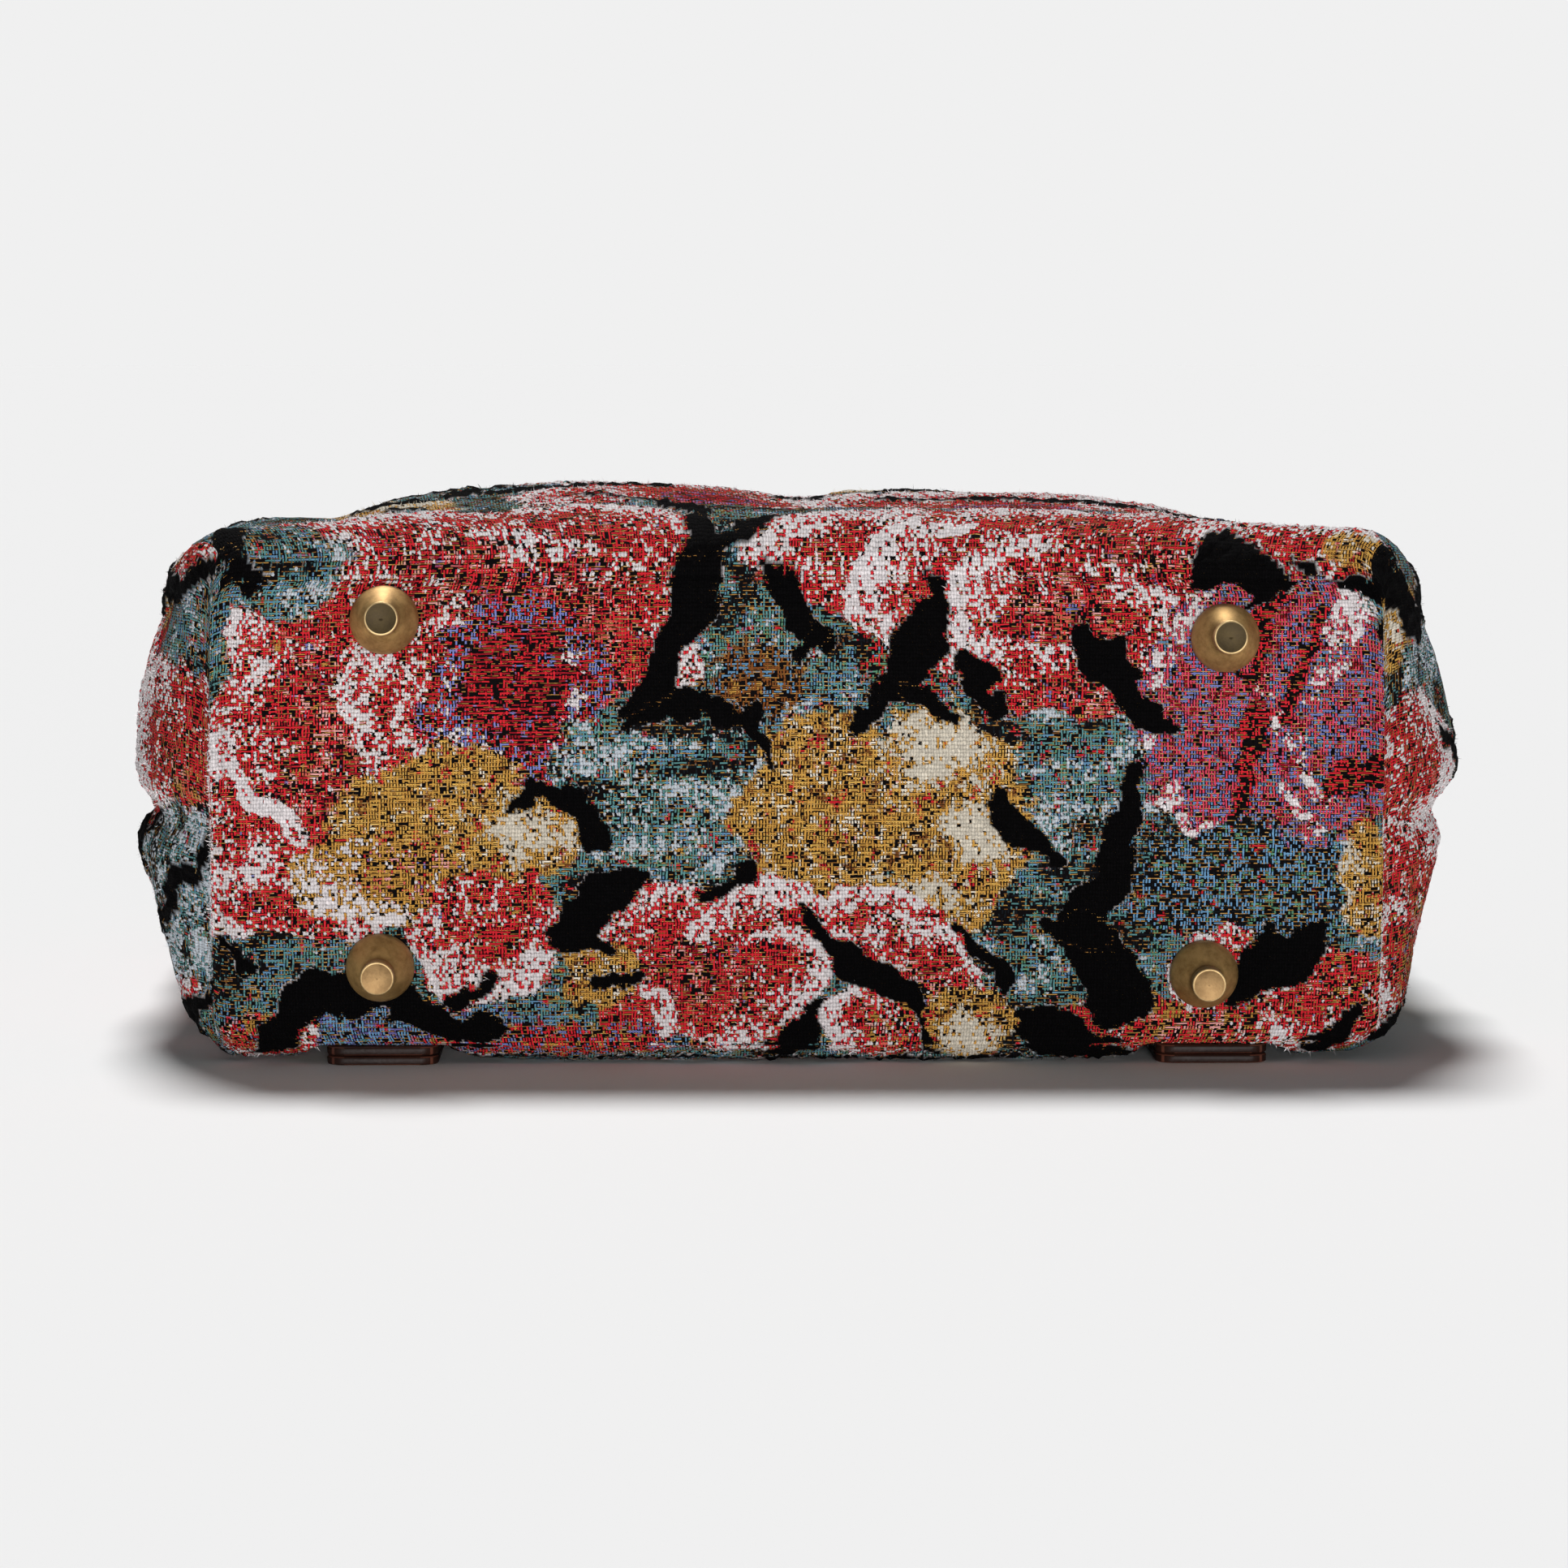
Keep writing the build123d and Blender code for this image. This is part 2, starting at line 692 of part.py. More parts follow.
write(zip_slider.part, "zip_slider")

# Zip pull: a flat tag whose eye turns about a round bar under the bridge
bar_radius = pull_thickness / 2
eye_length = bridge_half + pull_play + bar_radius
with BuildPart() as zip_pull:
    with BuildSketch(side_plane):
        with Locations((0, tunnel_height / 2)):
            Circle(bar_radius)
            Rectangle(pull_length, pull_thickness, align=(Align.MAX, Align.CENTER))
    extrude(amount=pull_width / 2, both=True)
    with BuildSketch(slider_plane) as pull_outline:
        with BuildLine():
            Polyline(
                (bar_radius, -pull_eye_width / 2),
                (bar_radius, pull_eye_width / 2),
                (-eye_length, pull_eye_width / 2),
                (-pull_length, pull_width / 2),
                (-pull_length, -pull_width / 2),
                (-eye_length, -pull_eye_width / 2),
                close=True,
            )
        make_face()
        fillet(pull_outline.vertices().group_by(Axis.X)[0], radius=pull_width / 3)
        with Locations((-bar_radius, 0)):
            Rectangle(
                eye_length - bar_radius,
                bridge_width + 2 * pull_play,
                align=(Align.MAX, Align.CENTER),
                mode=Mode.SUBTRACT,
            )
        with Locations((pull_width / 2 - pull_length, 0)):
            Circle(pull_end_hole_radius, mode=Mode.SUBTRACT)
    extrude(amount=-(slider_half + tunnel_height + pull_thickness), mode=Mode.INTERSECT)
write(zip_pull.part, "zip_pull")
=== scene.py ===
import math

import bmesh
import bpy
import numpy as np
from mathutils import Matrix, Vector
from mathutils.bvhtree import BVHTree


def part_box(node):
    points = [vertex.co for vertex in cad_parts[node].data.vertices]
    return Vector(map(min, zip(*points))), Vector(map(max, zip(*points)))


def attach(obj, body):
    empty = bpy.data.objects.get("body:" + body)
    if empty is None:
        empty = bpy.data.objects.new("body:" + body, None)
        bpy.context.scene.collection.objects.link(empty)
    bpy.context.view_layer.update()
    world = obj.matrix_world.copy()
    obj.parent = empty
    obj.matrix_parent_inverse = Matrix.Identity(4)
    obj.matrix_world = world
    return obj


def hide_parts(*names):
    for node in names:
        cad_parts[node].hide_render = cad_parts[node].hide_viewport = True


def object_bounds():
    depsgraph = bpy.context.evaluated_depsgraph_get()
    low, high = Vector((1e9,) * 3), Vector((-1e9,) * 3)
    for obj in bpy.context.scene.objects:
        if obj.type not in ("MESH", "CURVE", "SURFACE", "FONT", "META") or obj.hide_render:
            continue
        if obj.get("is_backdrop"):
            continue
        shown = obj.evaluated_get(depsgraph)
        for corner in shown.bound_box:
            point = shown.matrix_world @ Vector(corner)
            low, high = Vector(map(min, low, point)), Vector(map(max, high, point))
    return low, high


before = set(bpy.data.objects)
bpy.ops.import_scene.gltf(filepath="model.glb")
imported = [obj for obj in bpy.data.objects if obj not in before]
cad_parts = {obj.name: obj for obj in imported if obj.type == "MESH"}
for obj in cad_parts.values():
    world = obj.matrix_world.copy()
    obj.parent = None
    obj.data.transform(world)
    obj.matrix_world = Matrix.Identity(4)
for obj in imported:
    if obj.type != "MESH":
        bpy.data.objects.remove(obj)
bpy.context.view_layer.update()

# Look of the tapestry backpack. Lengths in this file are millimetres until they reach
# a mesh, and MM turns them into metres.
MM = 0.001

# The body's frame: rise is measured up the bag from the bottom panel.
SHELL_LOW, SHELL_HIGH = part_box("outer_shell")
BOTTOM_Y = SHELL_LOW[1] / MM
BODY_HEIGHT = (SHELL_HIGH[1] - SHELL_LOW[1]) / MM

# The width of a weave cell, and the bottom panel: half its width, its back and front edges,
# how its edge is rounded and the radius of its curve.
WEAVE = 1.25
BOTTOM_HALF = 131.0
BOTTOM_BACK = 3.2
BOTTOM_FRONT = 118.2
EDGE_ROUND = 10.0
BOTTOM_BOW = 500.0


def cells(ids, wrap=False):
    """Quads between neighbours in a grid of point numbers, closed round its rows on request."""
    if wrap:
        ids = np.concatenate([ids, ids[:, :1]], 1)
    return np.stack([ids[:-1, :-1], ids[:-1, 1:], ids[1:, 1:], ids[1:, :-1]], -1).reshape(-1, 4)


def hashed(i, j, seed):
    """A repeatable random number from 0 to 1 for each pair of whole numbers."""
    n = (i.astype(np.int64) * 374761393 + j.astype(np.int64) * 668265263 + seed * 2147483647) & 0xFFFFFFFF
    n = ((n ^ (n >> 13)) * 1274126177) & 0xFFFFFFFF
    n = ((n ^ (n >> 16)) * 2246822519) & 0xFFFFFFFF
    n = n ^ (n >> 15)
    return (n & 0xFFFFFF) / float(0xFFFFFF)


def noise(u, v, scale, seed):
    """Smooth noise from -1 to 1 with features of about the given size."""
    x, y = np.asarray(u) / scale, np.asarray(v) / scale
    i, j = np.floor(x), np.floor(y)
    fx, fy = x - i, y - j
    fx = fx * fx * (3 - 2 * fx)
    fy = fy * fy * (3 - 2 * fy)
    a, b, c, d = (hashed(i + across, j + up, seed) for up in (0, 1) for across in (0, 1))
    return 2 * ((a * (1 - fx) + b * fx) * (1 - fy) + (c * (1 - fx) + d * fx) * fy) - 1


def ease(x, start, end):
    """0 before start, 1 after end, smooth between."""
    t = np.clip((np.asarray(x, float) - start) / (end - start), 0, 1)
    return t * t * (3 - 2 * t)


def curve_through(xs, ys):
    """A function that runs smoothly through the given points without overshoot."""
    xs = np.asarray(xs, float)
    ys = np.asarray(ys, float)
    step = np.diff(xs)
    slope = np.diff(ys) / step
    m = np.zeros_like(ys)
    m[0], m[-1] = slope[0], slope[-1]
    for k in range(1, len(xs) - 1):
        if slope[k - 1] * slope[k] > 0:
            m[k] = 2 * slope[k - 1] * slope[k] / (slope[k - 1] + slope[k])

    def value(x):
        x = np.clip(np.asarray(x, float), xs[0], xs[-1])
        k = np.clip(np.searchsorted(xs, x, side="right") - 1, 0, len(xs) - 2)
        h = step[k]
        t = (x - xs[k]) / h
        return (
            (2 * t**3 - 3 * t**2 + 1) * ys[k]
            + (t**3 - 2 * t**2 + t) * h * m[k]
            + (-2 * t**3 + 3 * t**2) * ys[k + 1]
            + (t**3 - t**2) * h * m[k + 1]
        )

    return value


# Half width of the bag at the side seam, and its back and front, by rise.
half_at = curve_through([0, 6, 14, 28, 60, 150, 240, 300], [131, 135.5, 140, 146, 152.5, 152, 149, 146.5])
back_at = curve_through([0, 6, 18, 60, 240, 300], [1.2, 0.9, 1.3, 6.5, 8.6, 9.0])
front_at = curve_through([0, 12, 60, 150, 240, 300], [117.8, 119.6, 120.6, 106, 65, 40])
crown_at = curve_through([0, 28, 60, 150, 240, 300], [1.5, 5.5, 7.0, 7.0, 4.0, 1.0])
front_corner_at = curve_through([0, 28, 60, 150, 240, 300], [6, 16, 24, 24, 16, 8])
back_corner_at = curve_through([0, 28, 60, 150, 240, 300], [6, 22, 30, 24, 14, 8])
notch_at = curve_through([0, 20, 60, 150, 300], [0.3, 3.5, 4.5, 4.0, 1.5])
lean_at = curve_through([0, 40, 150, 300], [0.5, 5.0, 5.0, 2.0])

FRONT_COLS = round(2 * BOTTOM_HALF / WEAVE)
SIDE_COLS = round((BOTTOM_FRONT - BOTTOM_BACK) / WEAVE)
ROUND_ROWS = 12


def spaced(points, count):
    """count points spaced evenly along a polyline."""
    seg = np.sqrt((np.diff(points, axis=0) ** 2).sum(1))
    along = np.concatenate([[0], np.cumsum(seg)])
    at = np.linspace(0, along[-1], count)
    return np.stack([np.interp(at, along, points[:, k]) for k in range(points.shape[1])], 1)


def half_section(rise, tuck_front, tuck_back, tuck_side):
    """The right half of the section at a rise, split at the two corners (x, z)."""
    half = float(half_at(rise)) - tuck_side
    low = float(back_at(rise)) + tuck_back
    high = float(front_at(rise)) - tuck_front
    crown = float(crown_at(rise))
    lean = float(lean_at(rise))
    rf = min(float(front_corner_at(rise)), 0.45 * (high - low))
    rb = min(float(back_corner_at(rise)), 0.45 * (high - low))
    top_half = half - lean
    low_half = half - 0.8 * lean
    turn = np.linspace(0, math.pi / 2, 31)
    x = np.linspace(0, top_half - rf, 80)
    edge = crown * (1 - ((top_half - rf) / top_half) ** 2)
    front = np.stack([x, high + crown * (1 - (x / top_half) ** 2) - edge], 1)
    arc_f = np.stack([top_half - rf + rf * np.sin(turn), high - rf + rf * np.cos(turn)], 1)
    t = np.linspace(1, 0, 80)
    side_x = low_half + (top_half - low_half) * t + (half - (top_half + low_half) / 2) * 4 * t * (1 - t)
    side = np.stack([side_x, low + rb + (high - rf - low - rb) * t], 1)
    arc_b = np.stack([low_half - rb + rb * np.cos(turn), low + rb - rb * np.sin(turn)], 1)
    back = np.stack([np.linspace(low_half - rb, 0, 60), np.full(60, low)], 1)
    middle = len(turn) // 2 + 1
    return (
        spaced(np.concatenate([front[:-1], arc_f[:middle]]), FRONT_COLS // 2 + 1),
        spaced(np.concatenate([arc_f[middle - 1 : -1], side[:-1], arc_b[:middle]]), SIDE_COLS + 1),
        spaced(np.concatenate([arc_b[middle - 1 : -1], back]), FRONT_COLS // 2 + 1),
    )


def section_ring(rise, tuck_front, tuck_back, tuck_side):
    """The whole section, starting at the front middle and going right, without a repeat."""
    a, b, c = half_section(rise, tuck_front, tuck_back, tuck_side)
    half = np.concatenate([a[:-1], b[:-1], c])
    left = half[1:-1][::-1] * [-1, 1]
    return np.concatenate([half, left])


HALF_COLS = FRONT_COLS // 2
RING = 2 * (2 * HALF_COLS + SIDE_COLS)
CORNER = HALF_COLS
LOW_CORNER = HALF_COLS + SIDE_COLS

# How far the front's crown lies above or below an even arch, across the bag.
crown_left = ((-150, -1.0), (-129, -1.2), (-118, -0.6), (-106, -1.4), (-98, 0.6), (-90, 2.1), (-68, 2.6))
crown_middle = ((-46, 3.2), (-16, 1.4), (0, -0.8), (15, 0.4), (52, 0.3), (82, -0.6), (98, -2.4))
crown_right = ((106, -3.6), (113, -5.2), (120, -3.8), (130, -3.0), (150, -2.0))
crown_wave = curve_through(*zip(*crown_left, *crown_middle, *crown_right))
# How deep the side cloth lies behind the corner seam, by rise.
side_tuck = curve_through([0, 1.5, 4, 9, 16, 300], [0.2, 1.6, 2.0, 0.9, 0, 0])

BACK_ROUND = 3.6
angle = np.linspace(0, math.pi / 2, ROUND_ROWS + 1)
WALL_ROWS = round((BODY_HEIGHT - EDGE_ROUND) / WEAVE)
wall_rises = np.linspace(EDGE_ROUND, BODY_HEIGHT, WALL_ROWS + 1)[1:]
rises = np.concatenate([EDGE_ROUND * (1 - np.cos(angle)), wall_rises])
tucks = np.concatenate([1 - np.sin(angle), np.zeros(WALL_ROWS)])
tube = np.zeros((len(rises), RING, 3))
for row, (rise, tuck) in enumerate(zip(rises, tucks)):
    ring = section_ring(rise, EDGE_ROUND * tuck, BACK_ROUND * tuck, float(side_tuck(rise)))
    tube[row, :, 0] = ring[:, 0]
    tube[row, :, 1] = BOTTOM_Y + rise
    tube[row, :, 2] = ring[:, 1]

middle_z = (BOTTOM_BACK + BOTTOM_FRONT) / 2


def bow(z):
    """How far the bottom panel curves back towards its front and back edges."""
    z = np.clip(z, BOTTOM_BACK + 6, BOTTOM_FRONT - 8) - middle_z
    return BOTTOM_BOW - np.sqrt(BOTTOM_BOW**2 - z**2)


def ring_sides(ring):
    """The left, right, front and back stretches of a ring. The left and right ones run from
    front to back, and the others from left to right."""
    return (
        ring[RING - LOW_CORNER : RING - CORNER + 1][::-1],
        ring[CORNER : LOW_CORNER + 1],
        np.concatenate([ring[RING - CORNER :], ring[: CORNER + 1]]),
        ring[LOW_CORNER : RING - LOW_CORNER + 1][::-1],
    )


# The bottom panel fills the first ring.
left_edge, right_edge, front_edge, back_edge = ring_sides(tube[0])
s = np.linspace(0, 1, FRONT_COLS + 1)[None, :, None]
t = np.linspace(0, 1, SIDE_COLS + 1)[:, None, None]
panel = (
    (1 - t) * front_edge[None]
    + t * back_edge[None]
    + (1 - s) * left_edge[:, None]
    + s * right_edge[:, None]
    - (1 - s) * (1 - t) * front_edge[0]
    - s * (1 - t) * front_edge[-1]
    - (1 - s) * t * back_edge[0]
    - s * t * back_edge[-1]
)

# One list of points and faces: the tube first, then the inside of the panel.
ids_tube = np.arange(len(rises) * RING).reshape(len(rises), RING)
ids_panel = np.zeros((SIDE_COLS + 1, FRONT_COLS + 1), dtype=int)
inside_count = (SIDE_COLS - 1) * (FRONT_COLS - 1)
ids_panel[1:-1, 1:-1] = ids_tube.size + np.arange(inside_count).reshape(SIDE_COLS - 1, -1)
ids_panel[:, 0], ids_panel[:, -1], ids_panel[0], ids_panel[-1] = ring_sides(ids_tube[0])
points = np.concatenate([tube.reshape(-1, 3), panel[1:-1, 1:-1].reshape(-1, 3)])
point_rise = np.concatenate([np.repeat(rises, RING), np.zeros(inside_count)])
tube_faces = cells(ids_tube, wrap=True)
panel_faces = cells(ids_panel)[:, [0, 3, 2, 1]]

# Large forms, wrinkles, seams and dimples
x, z = points[:, 0].copy(), points[:, 2].copy()
inner = np.arange(len(points)) >= ids_tube.size
points[:, 1] += bow(z) * (1 - ease(point_rise, 5, 60))
column = np.concatenate([np.tile(np.arange(RING), len(rises)), np.full(inner.sum(), -1)])
mirrored = np.minimum(column, RING - column)
front_share = np.where(inner, 0.0, 1 - ease(mirrored, CORNER - 6, CORNER + 16))
grow = ease(point_rise, 3, 45) * (1 - ease(point_rise, 110, 190))
points[:, 2] += front_share * crown_wave(x) * grow
points[:, 2] += front_share * noise(x, point_rise, 34, 5) * 0.8 * ease(point_rise, 6, 30)

# Soft folds where the front and sides are slack
slack = ease(point_rise, 95, 150) * (1 - ease(point_rise, 250, 290))
fold = noise(x * 0.7 + point_rise * 0.55, point_rise - 0.4 * x, 34, 31)
crease = np.clip(1 - 2.2 * np.abs(fold), 0, 1) ** 2
points[:, 2] += front_share * slack * (2.6 * noise(x, point_rise, 62, 32) + 1.1 * fold - 1.7 * crease)
gather = ease(point_rise, 18, 40) * (1 - ease(point_rise, 60, 110))
gather *= np.exp(-(((np.abs(x) - 104) / 22) ** 2))
points[:, 2] -= front_share * gather * 0.9 * (0.5 + 0.5 * np.sin((point_rise * 0.8 + np.abs(x)) / 5.5))

# The lower edge sags between the tabs and lies over the tabs, rings and straps.
low_share = np.where(inner, 0.0, ease(mirrored, LOW_CORNER - 4, LOW_CORNER + 6))
low_share *= 1 - ease(point_rise, 12, 40)
points[:, 2] -= low_share * 0.7 * (1 - ease(np.abs(x), 60, 78))
points[:, 2] += low_share * 0.5 * ease(np.abs(x), 108, 124)
held_up = (4.5 + 1.3 * ease(point_rise, 32, 42)) * (1 - ease(np.abs(np.abs(x) - 93), 13.6, 23))
points[:, 2] = np.where((z < 40) & ~inner, np.maximum(points[:, 2], held_up), points[:, 2])

side_share = np.where(inner, 0.0, ease(mirrored, CORNER + 4, CORNER + 16))
side_share *= 1 - ease(mirrored, LOW_CORNER - 16, LOW_CORNER - 4)
SIDE_SEAM_Z = 54.0
valley = np.exp(-(((z - SIDE_SEAM_Z) / 5.0) ** 2)) * notch_at(point_rise)
lobes = 1.6 * np.cos((z - SIDE_SEAM_Z) / 17.0) * ease(point_rise, 10, 45)
wobble = noise(point_rise, z + 200 * (x > 0), 22, 9) * 1.3 * ease(point_rise, 4, 30)
side_fold = noise(point_rise * 0.8 + z, z * 1.4 - 0.3 * point_rise, 30, 33)
side_crease = np.clip(1 - 2.4 * np.abs(side_fold), 0, 1) ** 2
buckle = ease(point_rise, 60, 110) * (1 - ease(point_rise, 240, 285))
buckle *= 2.2 * side_fold - 1.8 * side_crease
points[:, 0] += np.sign(x) * side_share * (wobble + lobes - valley + buckle)

FEET = ["foot_front_left", "foot_front_right", "foot_back_left", "foot_back_right"]
foot_centres = []
for foot in FEET:
    low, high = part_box(foot)
    foot_centres.append(((low[0] + high[0]) / 2 / MM, (low[2] + high[2]) / 2 / MM))
bulge = noise(x, z, 46, 3) * 0.9 + noise(x, z, 17, 4) * 0.35
edge_x = BOTTOM_HALF - np.abs(x)
ridge = 1.5 * np.exp(-(((edge_x - 1.4) / 1.3) ** 2)) - 0.8 * np.exp(-(((edge_x - 5.5) / 2.4) ** 2))
bulge = bulge * ease(edge_x, 0, 14) + ridge
for fx, fz in foot_centres:
    away = np.hypot(x - fx, z - fz)
    bulge -= (bulge + 0.55) * np.exp(-((np.maximum(away - 6.5, 0) / 4.5) ** 2))
points[:, 1] -= np.where(point_rise < 2.0, bulge * (1 - ease(point_rise, 0.2, 2.0)), 0)


def vertex_normals(points, faces):
    """Area-weighted normals of the points."""
    a, b, c, d = (points[faces[:, k]] for k in range(4))
    cross = np.cross(c - a, d - b)
    normals = np.zeros_like(points)
    for k in range(4):
        np.add.at(normals, faces[:, k], cross)
    return normals / np.maximum(np.linalg.norm(normals, axis=1, keepdims=True), 1e-9)


normals = vertex_normals(points, np.concatenate([panel_faces, tube_faces]))

# Thread colours, as a screen shows them
RED = (196, 36, 46)
CRIMSON = (146, 24, 36)
CORAL = (214, 96, 84)
PINK = (226, 160, 156)
WHITE = (248, 240, 241)
BLACK = (8, 7, 8)
TEAL = (84, 130, 130)
BLUE = (96, 138, 172)
GREEN = (92, 142, 112)
DEEP = (18, 22, 26)
OCHRE = (186, 138, 64)
GOLD = (214, 168, 84)
CREAM = (232, 222, 204)
MAUVE = (112, 120, 178)
ROSE = (196, 62, 84)
VIOLET = (104, 98, 156)
BROWN = (120, 70, 34)
FROST = (214, 222, 230)

# What a place holds before anything is painted on it
PAINTED = {"a": WHITE, "b": TEAL, "c": BLUE, "share": 0.5, "dark": 0.3, "pile": 0.0, "weft": 0.35}


class Threads:
    """What the cloth shows at some places: a pile colour a and how much of it shows, two
    thread colours b and c, the share of b, how many threads are sunk, and the weft that shows."""

    def __init__(self, count):
        for key, value in PAINTED.items():
            setattr(self, key, np.tile(np.array(value, float), (count, 1) if np.ndim(value) else count))

    def take(self, chosen, source, places=slice(None)):
        """Copies what another has at some places to the chosen ones."""
        for key in PAINTED:
            getattr(self, key)[chosen] = getattr(source, key)[places]


class Paint(Threads):
    """Threads laid down region by region on places u across and v up the cloth."""

    def __init__(self, u, v, seed):
        super().__init__(len(u))
        self.u, self.v, self.seed = u, v, seed
        self.wu = u + 2.2 * noise(u, v, 11, seed + 1) + 1.8 * noise(u, v, 4.2, seed + 2)
        self.wv = v + 2.2 * noise(u, v, 11, seed + 3) + 1.8 * noise(u, v, 4.2, seed + 4)
        self.patch = 0.55 * noise(u, v * 1.7, 7, seed + 6) + 0.45 * noise(u, v * 1.5, 2.6, seed + 7)
        self.grain = noise(u, v, 1.3, seed + 5)
        self.drift = noise(u, v, 16, seed + 8)

    def turned(self, cx, cy, turn):
        """Places as seen from a centre, in axes turned by an angle."""
        c, s = math.cos(math.radians(turn)), math.sin(math.radians(turn))
        dx, dy = self.wu - cx, self.wv - cy
        return dx * c + dy * s, -dx * s + dy * c

    def ellipse(self, cx, cy, rx, ry, turn=0.0):
        """1 at the middle of an ellipse, 0 at its rim and below 0 outside."""
        along, across = self.turned(cx, cy, turn)
        return 1 - np.hypot(along / rx, across / ry)

    def leaf(self, cx, cy, length, width, turn):
        """Above 0 inside a pointed leaf."""
        along, across = self.turned(cx, cy, turn)
        t = along / (length / 2)
        return np.where(np.abs(t) < 1, (1 - t * t) - np.abs(across / (width / 2)), -1.0)

    def stroke(self, *places):
        """Distance inside a line through places, each given as x, y and the width there."""
        best = np.full(len(self.u), -1e9)
        for (x0, y0, w0), (x1, y1, w1) in zip(places, places[1:]):
            dx, dy = x1 - x0, y1 - y0
            t = ((self.wu - x0) * dx + (self.wv - y0) * dy) / (dx * dx + dy * dy)
            t = np.clip(t, 0, 1)
            away = np.hypot(self.wu - x0 - t * dx, self.wv - y0 - t * dy)
            best = np.maximum(best, (w0 + (w1 - w0) * t) / 2 - away)
        return best

    def lay(self, field, b, c, share=0.5, dark=0.2, rag=0.1, accents=(), weft=0.35):
        """Threads b and c where the field is above 0, with a ragged edge. Each accent is a
        colour, its share of the place and a seed."""
        inside = field > rag * self.grain
        self.b[inside] = b
        self.c[inside] = c
        for name, value in (("share", share), ("dark", dark), ("weft", weft)):
            getattr(self, name)[inside] = np.broadcast_to(value, self.u.shape)[inside]
        self.pile[inside] = 0
        for colour, dose, seed in accents:
            lot = 0.5 + 0.5 * noise(self.u, self.v * 0.8, 1.7, self.seed + seed) + 0.12 * self.patch
            spots = inside & (lot < 0.12 + dose)
            self.c[spots] = colour

    def chenille(self, field, level, colour, soft=0.3, most=0.88):
        """Pile that grows denser as the field rises past a level."""
        density = most * ease(field + 0.16 * self.grain, level - soft, level + soft)
        inside = density > 0.03
        self.a[inside] = colour
        self.pile[inside] = density[inside]

    def streak(self, base, level, soft, *places, patch=0.5):
        """A pale line of pile."""
        inside = self.stroke(*places) > 0
        self.chenille(np.where(inside, base + patch * self.patch, -9), level, WHITE, soft)

    def stem(self, *places):
        """A line of solid black pile."""
        density = ease(self.stroke(*places) + 0.7 * self.grain, 0.7, 1.7)
        inside = density > 0.03
        self.a[inside] = BLACK
        self.pile[inside] = np.maximum(density[inside], 0.35)
        deep = density > 0.5
        self.b[deep] = BLACK
        self.c[deep] = BLACK

    def petal(self, cx, cy, rx, ry, turn, toward, light=0.5, b=RED, c=CRIMSON):
        """A petal: red threads at its foot and pale pile at the rim that faces a direction."""
        field = self.ellipse(cx, cy, rx, ry, turn)
        rim = 1 - field
        facing = np.cos(np.arctan2(self.wv - cy, self.wu - cx) - math.radians(toward))
        fold = np.clip(0.55 - 0.7 * light + 0.4 * self.drift - 0.35 * facing, 0.2, 0.6)
        accents = ((MAUVE, 0.1, 3), (OCHRE, 0.05, 4), (CORAL, 0.16, 24), (PINK, 0.26, 25))
        self.lay(field, b, c, fold, 0.2 + 0.3 * fold, 0.07, accents, 0.5)
        pale = ease(rim, 0.1, 0.95) * (0.5 + 0.5 * facing) + 0.5 * self.patch + 0.6 * (light - 0.5)
        pale = np.where(field > 0.04 * self.grain, pale, -9)
        self.chenille(pale, 0.62, WHITE, 0.62, 0.84)

    def rose(self, cx, cy, rx, ry, turn, light, seed):
        """A cabbage rose of overlapping petals round a dark heart."""
        rng = np.random.default_rng(1000 + seed)
        start = rng.uniform(0, 360)
        for ring, (count, out, size) in enumerate(((6, 0.6, 0.56), (4, 0.28, 0.42))):
            for k in range(count):
                way = start + 360 * (k + rng.uniform(-0.16, 0.16)) / count + 40 * ring
                px = cx + rx * out * math.cos(math.radians(way))
                py = cy + ry * out * math.sin(math.radians(way))
                grow = rng.uniform(0.85, 1.15)
                wide, tall = rx * size * grow, ry * size * grow
                self.petal(px, py, wide, tall, way + turn, way, light - 0.25 * ring)
        self.heart(cx, cy, rx * 0.3, ry * 0.3)

    def heart(self, cx, cy, rx, ry):
        """The dark middle of a rose: red weft on black, with mauve at its edge."""
        field = self.ellipse(cx, cy, rx, ry)
        self.lay(field, RED, CRIMSON, 0.5, 0.62, 0.1, ((MAUVE, 0.12, 5),), 0.7)
        edge = np.where(field > 0, 0.35 - np.abs(field - 0.18) * 2.2, -1)
        self.lay(edge, MAUVE, RED, 0.5, 0.3, 0.2, (), 0.4)

    def fruit(self, cx, cy, rx, ry, side, amount=1.0):
        """A rounded bloom in ochre floats with a pale lit side."""
        field = self.ellipse(cx, cy, rx, ry)
        accents = ((CREAM, 0.3, 26), (RED, 0.13, 6), (BROWN, 0.1, 7))
        self.lay(field, OCHRE, GOLD, 0.45, 0.2, 0.1, accents, 0.45)
        lit = self.ellipse(cx + side[0] * rx, cy + side[1] * ry, rx * 0.75, ry * 0.75)
        tufts = np.where(field > 0, lit * 0.9 * amount + 0.5 * self.patch + 0.08, -9)
        self.chenille(tufts, 0.3, CREAM, 0.4)

    def foliage(self, field, seed, light):
        """Leaf threads with short runs of other colours and pale flecks."""
        bands = noise(self.u, self.v * 1.8, 8, self.seed + 40 + seed)
        accents = ((GREEN, 0.2, 8 + seed), (OCHRE, 0.05, 9), (RED, 0.06, 10))
        self.lay(field, TEAL, BLUE, 0.4 + 0.3 * bands, 0.3 - 0.15 * bands, 0.12, accents)
        dim = np.where(field > 0, -bands + 0.4 * self.patch, -9) - 0.38
        self.lay(dim, DEEP, TEAL, 0.4, 0.5, 0.2, ((RED, 0.1, 12), (BROWN, 0.14, 13)))
        tufts = np.where(field > 0, bands * 0.55 + 0.6 * self.patch + light - 0.3, -9)
        self.chenille(tufts, 0.5, FROST, 0.6, 0.7)


